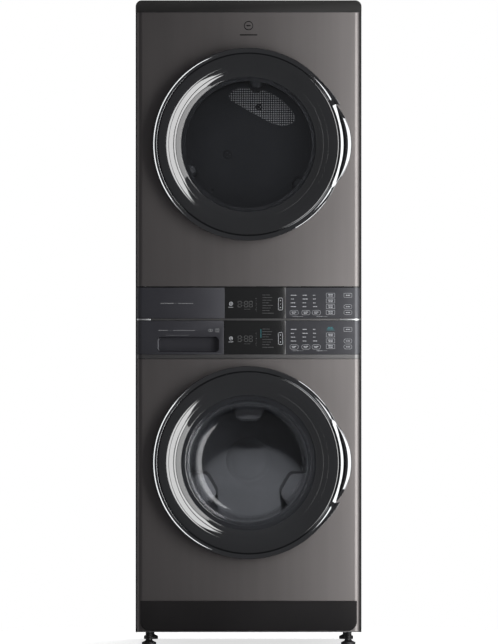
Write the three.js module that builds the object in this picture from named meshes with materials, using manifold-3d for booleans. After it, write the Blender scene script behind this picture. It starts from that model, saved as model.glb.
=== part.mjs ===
// A full-size laundry tower: a front-loading washer with a vented dryer above it in one cabinet.
// Millimetres. +X is the viewer's right, +Y runs to the back, +Z is up. The origin is on the floor
// under the middle of the footprint.
import * as THREE from 'three';
import { mergeVertices } from 'three/addons/utils/BufferGeometryUtils.js';
import Module from 'manifold-3d';

const wasm = await Module();
wasm.setup();

// ---------- driving dimensions ----------
const cabinetWidth = 686;
const overallDepth = 813; // crest of the door grips to the end of the exhaust collar
const gap = 0.3; // between pieces that touch

// cabinet shell
const footHeight = 41; // floor to the bottom edge of the cabinet
const gripProud = 52; // door grip ahead of the front panels
const collarProud = 32; // exhaust collar behind the rear panel
const sideSheet = 1.2;
const sheet = 1; // front and rear panels
const sideHem = 3; // folded front edge of each side panel
const sideFlange = 22; // rear return of each side panel
const hemSetback = 14; // side panel's front edge behind the front face
const hemDepth = 10;
const cornerBend = 18; // outside radius of the front panels' side bends
const panelReturn = 30; // depth of the front panels' side returns
const topCoverHeight = 35.5;
const topCoverWall = 3;
const topCornerRadius = 20;
const topNoseRadius = 10;
const topOverhang = 5;
const toePanelHeight = 91;
const toePanelProud = 8;
const toePanelLift = 5; // above the cabinet's bottom edge
const toeCornerRadius = 28;
const toeInset = 10.5; // in from the front panel's side edge
const toeWall = 2.5;

// washer tub and drum
const tubSideGap = 47; // tub to the outside of the cabinet
const tubWall = 8;
const drumGap = 20; // drum to the inside of the tub
const drumSheet = 1.5;
const underTub = 220; // cabinet bottom to the tub
const overTub = 19; // tub to the console
const tubFrontSpace = 65.5; // front face to the tub's front wall
const tubRearSpace = 149.5; // tub's rear wall to the rear panel
const tubNeckRadius = 202;
const drumFrontSpace = 33; // tub front wall to drum front
const drumRearSpace = 25;
const drumMouthRadius = 195;
const lifterHeight = 140;
const lifterBase = 190;
const lifterTop = 90;
const lifterWall = 2;
const lifterCount = 3;
const damperX = 200;
const damperY = -60;

// dryer drum
const dryerSideGap = 33; // dryer drum to the outside of the cabinet
const dryerSheet = 1.2;
const underDryer = 121; // console top to the drum
const overDryer = 92.5; // drum to the top cover
const dryerFrontSpace = 58.5; // front face to the drum's front edge
const dryerRearSpace = 72.5; // drum's rear edge to the rear panel
const vaneHeight = 130;
const vaneBase = 120;
const vaneTop = 30;
const vaneWall = 3;
const vaneAngles = [-37, 83, 203];
const seatDepth = 24; // how far each bulkhead's seat reaches into the drum
const seatGap = 3.2;

// console
const consoleHeight = 220;
const plateThickness = 3;
const plateProud = 2; // plates ahead of the front panels
const frameWall = 3;
const lipHeight = 13; // bottom lip of the console frame
const lipProud = 3;
const midRib = 6; // strip between the two rows of plates
const midRibRise = 119.5; // console's bottom edge to the middle of that strip
const topRib = 3;
const sideRib = 1.8; // upright between drawer and display
const displayLeft = -72;
const displayRight = 113;
const seam = 0.6; // between neighbouring plates

// detergent drawer
const trayRight = -88;
const traySideInset = 23; // tray to the outside of the cabinet
const trayLength = 300;
const trayWall = 2.5;
const trayClearance = 2;
const housingWall = 2.5;
const drawerTopMargin = 8; // tray's top edge below the strip
const drawerBottomMargin = 5;
const outletRadius = 18;
const pullWidth = 188;
const pullHeight = 46;
const pullDepth = 22;
const pullWall = 2.5;
const pullRight = -90;
const pullBottomMargin = 8;

// doors
const doorMargin = 50; // door edge to the outside of the cabinet
const doorGap = 2; // back of the door to the front panel
const trimWidth = 17;
const trimFront = 43.5;
const doorSplit = 17.6; // height of the back shell above the front panel
const windowRadius = 205;
const glassFlange = 11; // glass held behind the bezel
const glassThickness = 5;
const openingMargin = 15; // door opening beyond the window
const flangeDepth = 6;
const hingeInset = 9; // hinge axis in from the door's edge
const hingeForward = 22.5; // hinge axis ahead of the front panel
const pinRadius = 3;
const knuckleRadius = 6;
const knuckleHeight = 12;
const knuckleOffset = 45; // each knuckle above or below the door's centre
const armThickness = 8;
const pocketFloor = 14; // pocket depth ahead of the hinge axis
const bossHalfHeight = 62;
const bracketThickness = 3;
const gripHalfAngle = 28;
const gripReach = 20; // grip beyond the door's edge
const gripCrest = 9; // flat crest of the grip
const gripInnerBevel = 17;
const gripThickness = 20;
const scoopHalfHeight = 85;
const scoopDepth = 27.5; // finger room behind the grip
const scoopReach = 31; // scoop into the door's edge
const latchInset = 25; // latch beyond the edge of the door opening
const latchHalfHeight = 13;
const neckWall = 12; // back shell's bore inside the window's radius
const backWall = 11.5; // height of the back shell behind the glass
const washerNeckGap = 7; // neck of the washer door's back inside the opening
const washerNeckDepth = 3;
const dryerNeckGap = 13;
const dryerNeckDepth = 16.5;
const domeRise = 9; // dryer window ahead of its rim
const bowlDepth = 90; // washer window behind the front panel

// feet
const footInsetX = 40; // foot axis to the cabinet's side
const footInsetY = 60;
const padRadius = 22;
const stemRadius = 10.5;
const collarRadius = 12;
const threadRadius = 5.6;
const threadTop = 90;
const threadClearance = 0.5;
const footBossHalf = 20; // half-width of the block each foot screws into
const stemClearance = 3;
const threadHold = 12; // length of thread held in its block

const facets = 32; // doors
const innerFacets = 24; // round parts inside
const smallFacets = 12;
const over = 5; // cutting shapes run this far past what they cut

// ---------- places worked out from them ----------
const halfWidth = cabinetWidth / 2;
const frontY = -overallDepth / 2 + gripProud;
const rearY = overallDepth / 2 - collarProud;
const bottomZ = footHeight;
const panelHalf = halfWidth - sideHem - 0.5; // outside half-width of the front panels
const tubRadius = halfWidth - tubSideGap;
const drumRadius = tubRadius - tubWall - drumGap;
const washerZ = bottomZ + underTub + tubRadius;
const consoleZ = washerZ + tubRadius + overTub;
const consoleTopZ = consoleZ + consoleHeight;
const dryerRadius = halfWidth - dryerSideGap;
const dryerZ = consoleTopZ + underDryer + dryerRadius;
const coverZ = dryerZ + dryerRadius + overDryer;
const topZ = coverZ + topCoverHeight;
const doorRadius = halfWidth - doorMargin;
const tubFront = frontY + tubFrontSpace;
const tubRear = rearY - tubRearSpace;
const drumFront = tubFront + drumFrontSpace;
const drumRear = tubRear - drumRearSpace;
const dryerFront = frontY + dryerFrontSpace;
const dryerRear = rearY - dryerRearSpace;
const lipTop = consoleZ + lipHeight;
const stripZ = consoleZ + midRibRise;
const stripBottom = stripZ - midRib / 2;
const stripTop = stripZ + midRib / 2;
const plateTop = consoleTopZ - topRib;
const plateY = frontY - plateProud;
const frameY = plateY + plateThickness + gap;
const deckZ = stripTop + 4;
const footX = halfWidth - footInsetX;
const footFront = frontY + footInsetY;
const footRear = rearY - footInsetY;
const hingeX = -(doorRadius - hingeInset);
const hingeY = frontY - hingeForward;
const openingRadius = windowRadius + openingMargin;
const latchX = openingRadius + latchInset;

// ---------- materials ----------
const finish = (color, roughness, metalness, extra = {}) =>
  new THREE.MeshStandardMaterial({ color, roughness, metalness, ...extra });
const titaniumSteel = finish(0x6e6866, 0.38, 0.85);
const blackSheet = finish(0x1b1b1c, 0.5, 0.3);
const zincSheet = finish(0x9a9c9e, 0.45, 0.9);
const blackPlastic = finish(0x1f1e1f, 0.55, 0);
const consolePlastic = finish(0x3b3b3f, 0.45, 0.2);
const consoleMetal = finish(0x545453, 0.35, 0.7);
const blackGlass = finish(0x161617, 0.12, 0);
const chrome = finish(0x9b9c9d, 0.12, 1);
const glossBlack = finish(0x101112, 0.12, 0);
const doorGlass = finish(0x30343a, 0.05, 0, { transparent: true, opacity: 0.4 });
const greyPlastic = finish(0x55585b, 0.5, 0);
const rubber = finish(0x3a3b3d, 0.8, 0);
const stainless = finish(0xb4b5b6, 0.28, 1);
const castIron = finish(0x4a4a4b, 0.7, 0.6);
const aluminium = finish(0xa4a6a8, 0.4, 0.9);

// ---------- solids ----------
function solidOf(geometry) {
  const bare = geometry.index ? geometry.toNonIndexed() : geometry.clone();
  bare.deleteAttribute('normal');
  bare.deleteAttribute('uv');
  const merged = mergeVertices(bare, 1e-4);
  const made = new wasm.Manifold(
    new wasm.Mesh({
      numProp: 3,
      vertProperties: merged.attributes.position.array,
      triVerts: new Uint32Array(merged.index.array),
    }),
  );
  return made;
}

function meshOf(name, solid, material) {
  const { vertProperties, triVerts } = solid.getMesh();
  const geometry = new THREE.BufferGeometry()
    .setAttribute('position', new THREE.BufferAttribute(vertProperties, 3))
    .setIndex(new THREE.BufferAttribute(triVerts, 1));
  const mesh = new THREE.Mesh(geometry, material);
  mesh.name = name;
  return mesh;
}

const join = (first, ...rest) => rest.reduce((sum, next) => sum.add(next), first);
const cut = (first, ...rest) => rest.reduce((left, next) => left.subtract(next), first);

function box(x, y, z) {
  const geometry = new THREE.BoxGeometry(x[1] - x[0], y[1] - y[0], z[1] - z[0]);
  return solidOf(geometry.translate((x[0] + x[1]) / 2, (y[0] + y[1]) / 2, (z[0] + z[1]) / 2));
}

// A cylinder or cone along Y, from y[0] with radius r0 to y[1] with radius r1.
function rodY(r0, y, { x = 0, z = 0, r1 = r0, sides = facets } = {}) {
  const geometry = new THREE.CylinderGeometry(r1, r0, y[1] - y[0], sides);
  return solidOf(geometry.translate(x, (y[0] + y[1]) / 2, z));
}

function rodZ(radius, z, { x = 0, y = 0, sides = smallFacets } = {}) {
  const geometry = new THREE.CylinderGeometry(radius, radius, z[1] - z[0], sides);
  return solidOf(geometry.rotateX(Math.PI / 2).translate(x, y, (z[0] + z[1]) / 2));
}

// A solid of revolution about Y from a closed outline of [radius, y] points, in either order.
function turned(outline, sides = facets) {
  const points = outline.map(([r, y]) => new THREE.Vector2(Math.max(r, 0), y));
  if (THREE.ShapeUtils.area(points) < 0) points.reverse();
  const last = points[points.length - 1];
  if (points[0].x > 0 || last.x > 0) points.push(points[0].clone());
  return solidOf(new THREE.LatheGeometry(points, sides));
}

// The closed outline of a wall of one thickness along a path, half of it on each side.
function wall(path, thickness) {
  const points = path.map(([r, y]) => new THREE.Vector2(r, y));
  const offset = (side) =>
    points.map((point, i) => {
      const before = points[Math.max(i - 1, 0)];
      const after = points[Math.min(i + 1, points.length - 1)];
      const into = i ? point.clone().sub(before).normalize() : null;
      const out = i < points.length - 1 ? after.clone().sub(point).normalize() : null;
      const along = (into ?? out).clone().add(out ?? into).normalize();
      const stretch = 1 / Math.max(along.dot(into ?? out), 0.3);
      const normal = new THREE.Vector2(-along.y, along.x);
      const moved = point.clone().addScaledVector(normal, (side * stretch * thickness) / 2);
      return [point.x === 0 ? 0 : moved.x, moved.y];
    });
  return [...offset(1), ...offset(-1).reverse()];
}

const shapeOf = (points) => new THREE.Shape(points.map(([x, y]) => new THREE.Vector2(x, y)));

function extruded(shape, depth) {
  return new THREE.ExtrudeGeometry(shape, { depth, bevelEnabled: false, curveSegments: 3 });
}

// Extrusions of an (x, y) outline along Z, an (x, z) outline along Y, and a (y, z) outline along X.
const alongZ = (shape, z) => solidOf(extruded(shape, z[1] - z[0]).translate(0, 0, z[0]));
const alongY = (shape, y) =>
  solidOf(extruded(shape, y[1] - y[0]).rotateX(Math.PI / 2).translate(0, y[1], 0));
const cyclic = new THREE.Matrix4().set(0, 0, 1, 0, 1, 0, 0, 0, 0, 1, 0, 0, 0, 0, 0, 1);
const alongX = (shape, x) =>
  solidOf(extruded(shape, x[1] - x[0]).applyMatrix4(cyclic).translate(x[0], 0, 0));

function roundedRect(x, z, radii) {
  const [bottomLeft, bottomRight, topRight, topLeft] = radii;
  const shape = new THREE.Shape();
  shape.absarc(x[0] + bottomLeft, z[0] + bottomLeft, bottomLeft, Math.PI, 1.5 * Math.PI);
  shape.absarc(x[1] - bottomRight, z[0] + bottomRight, bottomRight, 1.5 * Math.PI, 2 * Math.PI);
  shape.absarc(x[1] - topRight, z[1] - topRight, topRight, 0, Math.PI / 2);
  shape.absarc(x[0] + topLeft, z[1] - topLeft, topLeft, Math.PI / 2, Math.PI);
  return shape;
}

const tower = new THREE.Group();
const washer = new THREE.Group();
const dryer = new THREE.Group();
washer.position.z = washerZ;
dryer.position.z = dryerZ;
tower.add(washer, dryer);

// ---------- cabinet shell ----------
// Plan outline of a sheet whose face is flat between the side bends and turns back at each end that
// reaches panelHalf. 'inset' moves the whole outline in from the outer face.
function wrapOutline(x, faceY, thickness, returnY, inset = 0) {
  const half = panelHalf - inset;
  const radius = cornerBend - inset;
  const wrapsLeft = x[0] <= -half;
  const wrapsRight = x[1] >= half;
  const bendX = half - radius;
  const bendY = faceY + radius;
  const inner = radius - thickness;
  const shape = new THREE.Shape();
  if (wrapsLeft) {
    shape.moveTo(-half, returnY);
    shape.absarc(-bendX, bendY, radius, Math.PI, 1.5 * Math.PI);
  } else {
    shape.moveTo(x[0], faceY + thickness);
    shape.lineTo(x[0], faceY);
  }
  if (wrapsRight) {
    shape.absarc(bendX, bendY, radius, 1.5 * Math.PI, 2 * Math.PI);
    shape.lineTo(half, returnY);
    shape.lineTo(half - thickness, returnY);
    shape.absarc(bendX, bendY, inner, 2 * Math.PI, 1.5 * Math.PI, true);
  } else {
    shape.lineTo(x[1], faceY);
    shape.lineTo(x[1], faceY + thickness);
  }
  if (wrapsLeft) {
    shape.absarc(-bendX, bendY, inner, 1.5 * Math.PI, Math.PI, true);
    shape.lineTo(-half + thickness, returnY);
  }
  return shape;
}

const wholeWidth = [-panelHalf, panelHalf];

// A front panel with its round door opening, turned-in flange, hinge slots and latch slot.
function frontPanel(z, axisZ) {
  const face = alongZ(wrapOutline(wholeWidth, frontY, sheet, frontY + panelReturn), z);
  const through = [frontY - over, frontY + over];
  const slots = [-1, 1].map((side) => {
    const slotZ = axisZ + side * knuckleOffset;
    return box([hingeX - 7.5, hingeX + 7.5], through, [slotZ - 8.5, slotZ + 8.5]);
  });
  const latchReach = latchHalfHeight + 4;
  const latchSlot = box([latchX - 9, latchX + 9], through, [axisZ - latchReach, axisZ + latchReach]);
  const opening = rodY(openingRadius - 0.5, through, { z: axisZ });
  const flange = cut(
    rodY(openingRadius, [frontY, frontY + flangeDepth], { z: axisZ }),
    rodY(openingRadius - sheet, [frontY - over, frontY + flangeDepth + over], { z: axisZ }),
  );
  return join(cut(face, opening, ...slots, latchSlot), flange);
}

function sidePanel(side) {
  const front = frontY + hemSetback;
  const outline = [
    [halfWidth, front],
    [halfWidth, rearY],
    [halfWidth - sideFlange, rearY],
    [halfWidth - sideFlange, rearY - sideSheet],
    [halfWidth - sideSheet, rearY - sideSheet],
    [halfWidth - sideSheet, front + hemDepth],
    [halfWidth - sideHem, front + hemDepth],
    [halfWidth - sideHem, front],
  ].map(([x, y]) => [side * x, y]);
  return alongZ(shapeOf(outline), [bottomZ, coverZ - gap]);
}

function topCover() {
  const y = [frontY - topOverhang, rearY];
  const corners = [0.01, 0.01, topCornerRadius, topCornerRadius];
  const outside = alongY(roundedRect([-halfWidth, halfWidth], [coverZ, topZ], corners), y);
  const nose = roundedRect(y, [coverZ, topZ], [6, 0.01, 2, topNoseRadius]);
  const block = outside.intersect(alongX(nose, [-halfWidth - 1, halfWidth + 1]));
  const inner = halfWidth - topCoverWall;
  const innerRadius = topCornerRadius - topCoverWall;
  const innerCorners = [0.01, 0.01, innerRadius, innerRadius];
  const hollow = roundedRect([-inner, inner], [coverZ - over, topZ - topCoverWall], innerCorners);
  return cut(block, alongY(hollow, [y[0] + topCoverWall + 4, y[1] - topCoverWall]));
}

function toePanel() {
  const x = [-panelHalf + toeInset, panelHalf - toeInset];
  const z = [bottomZ + toePanelLift, bottomZ + toePanelLift + toePanelHeight];
  const y = [frontY - toePanelProud, frontY - gap];
  const corners = [toeCornerRadius, toeCornerRadius, 4, 4];
  const outside = alongY(roundedRect(x, z, corners), y);
  const insideCorners = [toeCornerRadius - toeWall, toeCornerRadius - toeWall, 2, 2];
  const inset = ([low, high]) => [low + toeWall, high - toeWall];
  return cut(
    outside,
    alongY(roundedRect(inset(x), inset(z), insideCorners), [y[0] + toeWall, y[1] + over]),
  );
}

// Rear panel, with holes for the exhaust collar and the two water inlets.
const ductX = 235;
const ductZ = consoleTopZ - 22;
const ductRadius = 51;
const inletX = [-250, -200];
const inletZ = consoleZ + 58;
const inletHole = 17;
const baseHeight = 34;

function rearPanel() {
  const x = halfWidth - sideFlange - gap;
  const sheetBody = box([-x, x], [rearY - sheet, rearY], [bottomZ + baseHeight, coverZ - gap]);
  const through = [rearY - over, rearY + over];
  const ports = inletX.map((at) => rodY(inletHole, through, { x: at, z: inletZ, sides: smallFacets }));
  return cut(sheetBody, rodY(ductRadius + 2, through, { x: ductX, z: ductZ, sides: innerFacets }), ...ports);
}

const bossTop = bottomZ + baseHeight + 3;
const baseFloor = 2.5;
const baseWall = 3;
const baseRim = 140; // floor left ahead of and behind the opening in the base

function baseFrame() {
  const x = halfWidth - sideSheet - gap;
  const y = [frontY + panelReturn + 2, rearY - sideSheet - gap];
  const tray = cut(
    box([-x, x], y, [bottomZ, bottomZ + baseHeight - gap]),
    box(
      [-x + baseWall, x - baseWall],
      [y[0] + baseWall, y[1] - baseWall],
      [bottomZ + baseFloor, bottomZ + baseHeight + over],
    ),
    box([-damperX, damperX], [y[0] + baseRim, y[1] - baseRim], [bottomZ - over, bottomZ + 2 * over]),
  );
  const feet = [];
  for (const footY of [footFront, footRear]) {
    for (const footSide of [-footX, footX]) feet.push({ x: footSide, y: footY });
  }
  const bosses = feet.map(({ x: bossX, y: bossY }) =>
    box(
      [bossX - footBossHalf, bossX + footBossHalf],
      [bossY - footBossHalf, bossY + footBossHalf],
      [bottomZ + 1, bossTop],
    ),
  );
  const stemHoles = feet.map((at) =>
    rodZ(stemRadius + stemClearance, [bottomZ - over, bossTop - threadHold], at),
  );
  const threads = feet.map((at) => rodZ(threadRadius + threadClearance, [bottomZ, bossTop + over], at));
  return cut(join(tray, ...bosses), ...stemHoles, ...threads);
}

function foot() {
  const outline = [
    [0, 0],
    [padRadius, 0],
    [padRadius, 10],
    [stemRadius, 15],
    [stemRadius, 25],
    [collarRadius, 25],
    [collarRadius, 30],
    [stemRadius, 30],
    [stemRadius, footHeight + 1],
    [threadRadius, footHeight + 3],
    [threadRadius, threadTop],
    [0, threadTop],
  ];
  const points = outline.map(([r, z]) => new THREE.Vector2(r, z));
  return solidOf(new THREE.LatheGeometry(points, smallFacets).rotateX(Math.PI / 2));
}

const washerPanelZ = [bottomZ + 3, consoleZ - gap];
const dryerPanelZ = [consoleTopZ + gap, coverZ - gap];

tower.add(
  meshOf('base_frame', baseFrame(), zincSheet),
  meshOf('left_side_panel', sidePanel(-1), blackSheet),
  meshOf('right_side_panel', sidePanel(1), blackSheet),
  meshOf('rear_panel', rearPanel(), zincSheet),
  meshOf('top_cover', topCover(), blackPlastic),
  meshOf('washer_front_panel', frontPanel(washerPanelZ, washerZ), titaniumSteel),
  meshOf('dryer_front_panel', frontPanel(dryerPanelZ, dryerZ), titaniumSteel),
  meshOf('toe_panel', toePanel(), blackPlastic),
);

const feetAt = {
  foot_front_left: [-footX, footFront],
  foot_front_right: [footX, footFront],
  foot_rear_left: [-footX, footRear],
  foot_rear_right: [footX, footRear],
};
for (const [name, [x, y]] of Object.entries(feetAt)) {
  const mesh = meshOf(name, foot(), blackPlastic);
  mesh.position.set(x, y, 0);
  tower.add(mesh);
}

// ---------- console ----------
const trayX = [-halfWidth + traySideInset, trayRight];
const trayZ = [lipTop + drawerBottomMargin, stripBottom - drawerTopMargin];
const housingX = [trayX[0] - trayClearance, trayX[1] + trayClearance];
const housingZ = [trayZ[0] - trayClearance, trayZ[1] + trayClearance];
const frameReturn = frontY + panelReturn;

function consoleFrame() {
  const inset = plateThickness + gap;
  const back = wrapOutline(wholeWidth, frameY, frameWall, frameReturn, inset);
  const body = alongZ(back, [consoleZ + gap, consoleTopZ - gap]);
  const bar = (proud, z) =>
    alongZ(wrapOutline(wholeWidth, frontY - proud, inset + proud, frontY + cornerBend + 4), z);
  const upright = box(
    [displayLeft - sideRib - seam, displayLeft - seam],
    [frontY - plateProud, frameY + 1],
    [lipTop - 1, stripBottom + 1],
  );
  const drawerHole = box(
    [housingX[0] - 1, housingX[1] + 8],
    [frontY - 20, frameY + 20],
    [housingZ[0] - 1, housingZ[1] + 1],
  );
  const framed = join(
    body,
    bar(lipProud, [consoleZ + gap, lipTop]),
    bar(lipProud, [stripBottom, stripTop]),
    bar(1, [plateTop, consoleTopZ - gap]),
    upright,
  );
  return cut(framed, drawerHole);
}

function plate(x, z) {
  const returnY = frontY + cornerBend + 2;
  return alongZ(wrapOutline(x, plateY, plateThickness, returnY), z);
}

const upperRow = [stripTop + seam, plateTop - seam];
const lowerRow = [lipTop + seam, stripBottom - seam];
const leftPlate = [-panelHalf, displayLeft - seam];
const displayPlate = [displayLeft, displayRight];
const keypadPlate = [displayRight + seam, panelHalf];

// The drawer's front: the plate with a recessed pull behind it.
const pullX = [pullRight - pullWidth, pullRight];
const pullZ = [lipTop + pullBottomMargin, lipTop + pullBottomMargin + pullHeight];

function drawerFront() {
  const x = [-panelHalf, displayLeft - sideRib - 2 * seam];
  const grow = ([low, high], by) => [low - by, high + by];
  const cup = box(
    grow(pullX, pullWall),
    [plateY + 1, plateY + pullDepth + pullWall],
    grow(pullZ, pullWall),
  );
  const pocket = roundedRect(pullX, pullZ, [8, 8, 8, 8]);
  return cut(join(plate(x, lowerRow), cup), alongY(pocket, [plateY - over, plateY + pullDepth]));
}

const trayFront = plateY + pullDepth + pullWall + gap;

function drawerTray() {
  const y = [trayFront, trayFront + trayLength];
  const bay = (x, yy) => box(x, yy, [trayZ[0] + trayWall, trayZ[1] + over]);
  const middle = (trayX[0] + trayX[1]) / 2;
  const inside = [y[0] + trayWall, y[1] - trayWall];
  return cut(
    box(trayX, y, trayZ),
    bay([trayX[0] + trayWall, middle - trayWall / 2], inside),
    bay([middle + trayWall / 2, trayX[1] - trayWall], [inside[0], y[0] + trayLength / 2]),
    bay([middle + trayWall / 2, trayX[1] - trayWall], [y[0] + trayLength / 2 + trayWall, inside[1]]),
  );
}

function dispenserHousing() {
  const y = [
    frameY + frameWall + 1,
    trayFront + trayLength + trayClearance + housingWall,
  ];
  const grow = ([low, high]) => [low - housingWall, high + housingWall];
  const outlet = { x: (housingX[0] + housingX[1]) / 2, y: y[1] - 40 };
  const hollow = box(housingX, [y[0] - over, y[1] - housingWall], housingZ);
  return cut(
    box(grow(housingX), y, grow(housingZ)),
    hollow,
    rodZ(outletRadius, [housingZ[0] - 2 * over, housingZ[0] + over], outlet),
  );
}

// Circuit board behind the upper keypad, with its relays and connectors.
function controlBoard() {
  const y = frameY + frameWall + 5;
  const z = [stripTop + 14, plateTop - 12];
  const parts = [[130, 30], [175, 22], [214, 26], [258, 18]].map(([x, width]) =>
    box([x, x + width], [y + 1, y + 14], [z[0] + 12, z[1] - 20]),
  );
  return join(box([120, 300], [y, y + 2], z), ...parts);
}

tower.add(
  meshOf('console_frame', consoleFrame(), consoleMetal),
  meshOf('dryer_fascia_plate', plate(leftPlate, upperRow), consolePlastic),
  meshOf('dryer_display_window', plate(displayPlate, upperRow), blackGlass),
  meshOf('dryer_keypad', plate(keypadPlate, upperRow), consolePlastic),
  meshOf('drawer_front', drawerFront(), consolePlastic),
  meshOf('drawer_tray', drawerTray(), greyPlastic),
  meshOf('washer_display_window', plate(displayPlate, lowerRow), blackGlass),
  meshOf('washer_keypad', plate(keypadPlate, lowerRow), consolePlastic),
  meshOf('dispenser_housing', dispenserHousing(), greyPlastic),
  meshOf('control_board', controlBoard(), blackPlastic),
);

// ---------- doors ----------
// Each door is built about its own axis, so z is 0 at the door's centre. Heights above the front
// panel are measured towards the viewer.
const ahead = (height) => frontY - height;
const towardsViewer = (high, low) => [ahead(high), ahead(low)];
const splitY = ahead(doorSplit);

const hingePockets = [-1, 1].map((side) => {
  const z = side * knuckleOffset;
  const half = knuckleHeight / 2 + 1.5;
  return box([hingeX - 14, hingeX + 8.5], [hingeY - pocketFloor, frontY + 1], [z - half, z + half]);
});

const scoop = cut(
  box([doorRadius - 60, doorRadius + 40], towardsViewer(scoopDepth, -1), [-scoopHalfHeight, scoopHalfHeight]),
  rodY(doorRadius - scoopReach, towardsViewer(scoopDepth + 1, -2)),
);

// Chrome ring round the door's edge, with the crescent grip on the right.
function doorTrim() {
  const inner = doorRadius - trimWidth + gap;
  const ring = turned([
    [inner, splitY],
    [inner, ahead(38)],
    [inner + 2.7, ahead(42)],
    [doorRadius - 9, ahead(trimFront)],
    [doorRadius - 4, ahead(42)],
    [doorRadius - 1, ahead(38)],
    [doorRadius, ahead(33)],
    [doorRadius, splitY],
  ]);
  // The grip's edge is a circle through its furthest point and through both tips on the ring.
  const tipRadius = doorRadius - 7.5;
  const tip = THREE.MathUtils.degToRad(gripHalfAngle);
  const tipX = tipRadius * Math.cos(tip);
  const reach = doorRadius + gripReach;
  const centreX = (reach ** 2 - tipRadius ** 2) / (2 * (reach - tipX));
  const edge = reach - centreX;
  const back = ahead(gripProud - gripThickness);
  const crest = ahead(gripProud);
  const blank = rodY(edge - gripCrest, [crest, back], { x: centreX, r1: edge });
  const crescent = cut(
    blank.intersect(box([0, reach + 5], [crest - 1, back + 1], [-doorRadius, doorRadius])),
    rodY(doorRadius - trimWidth + gap + gripInnerBevel, [crest - 1, ahead(trimFront - 6)], {
      r1: inner,
    }),
    rodY(inner, [ahead(trimFront - 5), back + 1]),
  );
  const bossRoom = box(
    [-doorRadius - 5, hingeX + 17],
    [hingeY - 11.5, frontY],
    [-bossHalfHeight - 0.8, bossHalfHeight + 0.8],
  );
  return cut(join(ring, crescent), scoop, bossRoom, ...hingePockets);
}

// Black dished bezel between the chrome ring and the glass.
function doorBezel() {
  const outer = doorRadius - trimWidth;
  const rim = windowRadius + 30; // top of the bead round the dish
  return cut(
    turned([
      [windowRadius, splitY - gap],
      [windowRadius, ahead(24)],
      [rim - 14, ahead(38)],
      [rim - 6, ahead(44.5)],
      [rim, ahead(46.5)],
      [rim + 8, ahead(43)],
      [outer - 14, ahead(45)],
      [outer, ahead(40)],
      [outer, splitY - gap],
    ]),
    scoop,
  );
}

// Back shell of a door: a flat ring with a neck into the cabinet opening, the hinge boss with its
// pin, and the latch hook. 'neck' is the neck's outside radius and 'depth' how far it goes in.
function doorBack({ neck, depth }) {
  const outer = doorRadius - 2;
  const glassEdge = windowRadius + glassFlange + 1;
  const bore = windowRadius - neckWall;
  const shell = turned([
    [bore, ahead(backWall)],
    [glassEdge, ahead(backWall)],
    [glassEdge, splitY],
    [outer, splitY],
    [outer, ahead(doorGap)],
    [neck, ahead(doorGap)],
    [neck, ahead(-depth)],
    [bore, ahead(-depth)],
  ]);
  const bossBand = cut(
    rodY(outer, [hingeY - 11, splitY + 1]),
    rodY(doorRadius - trimWidth + gap + 0.5, [hingeY - 12, splitY + 2]),
  );
  const boss = bossBand.intersect(
    box([-doorRadius, -doorRadius / 2], [hingeY - 11, splitY + 1], [-bossHalfHeight, bossHalfHeight]),
  );
  const hook = box(
    [latchX - 4, latchX + 4],
    [ahead(doorGap + 2), ahead(-14)],
    [-latchHalfHeight, latchHalfHeight],
  );
  const pin = rodZ(pinRadius, [-bossHalfHeight + 2, bossHalfHeight - 2], { x: hingeX, y: hingeY });
  return join(cut(join(shell, boss, hook), scoop, ...hingePockets), pin);
}

const glassRim = windowRadius + glassFlange;

// Dryer window: a shallow dome.
function dryerGlass() {
  const front = doorSplit - 0.4;
  const dome = (height, steps = 2) =>
    Array.from({ length: steps + 1 }, (_, i) => {
      const angle = ((i / steps) * Math.PI) / 2;
      return [(windowRadius - 1) * Math.cos(angle), height + domeRise * Math.sin(angle)];
    });
  const outside = dome(front).map(([r, h]) => [r, ahead(h)]);
  const inside = dome(front - glassThickness).map(([r, h]) => [r, ahead(h)]);
  return turned([
    [glassRim, ahead(front)],
    ...outside,
    ...inside.reverse(),
    [glassRim, ahead(front - glassThickness)],
  ]);
}

// Washer window: a bowl that reaches into the mouth of the drum.
function washerGlass() {
  const y = (h) => ahead(h);
  const middle = doorSplit - 0.4 - glassThickness / 2;
  const bowl = [
    [glassRim, y(middle)],
    [windowRadius - 18, y(middle)],
    [windowRadius - 33, y(-12)],
    [windowRadius - 44, y(35 - bowlDepth)],
    [windowRadius - 70, y(8 - bowlDepth)],
    [0, y(-bowlDepth)],
  ];
  return turned(wall(bowl, glassThickness));
}

function hingeBracket() {
  const plateY0 = frontY + sheet + gap;
  const back = box([hingeX - 14, -openingRadius - 8], [plateY0, plateY0 + bracketThickness], [-70, 70]);
  const arms = [-1, 1].flatMap((side) => {
    const z = [side * knuckleOffset - knuckleHeight / 2, side * knuckleOffset + knuckleHeight / 2];
    const arm = box([hingeX - armThickness / 2, hingeX + armThickness / 2], [hingeY, plateY0 + 1], z);
    return [arm, rodZ(knuckleRadius, z, { x: hingeX, y: hingeY })];
  });
  const bores = rodZ(pinRadius + gap, [-80, 80], { x: hingeX, y: hingeY });
  return cut(join(back, ...arms), bores);
}

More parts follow.
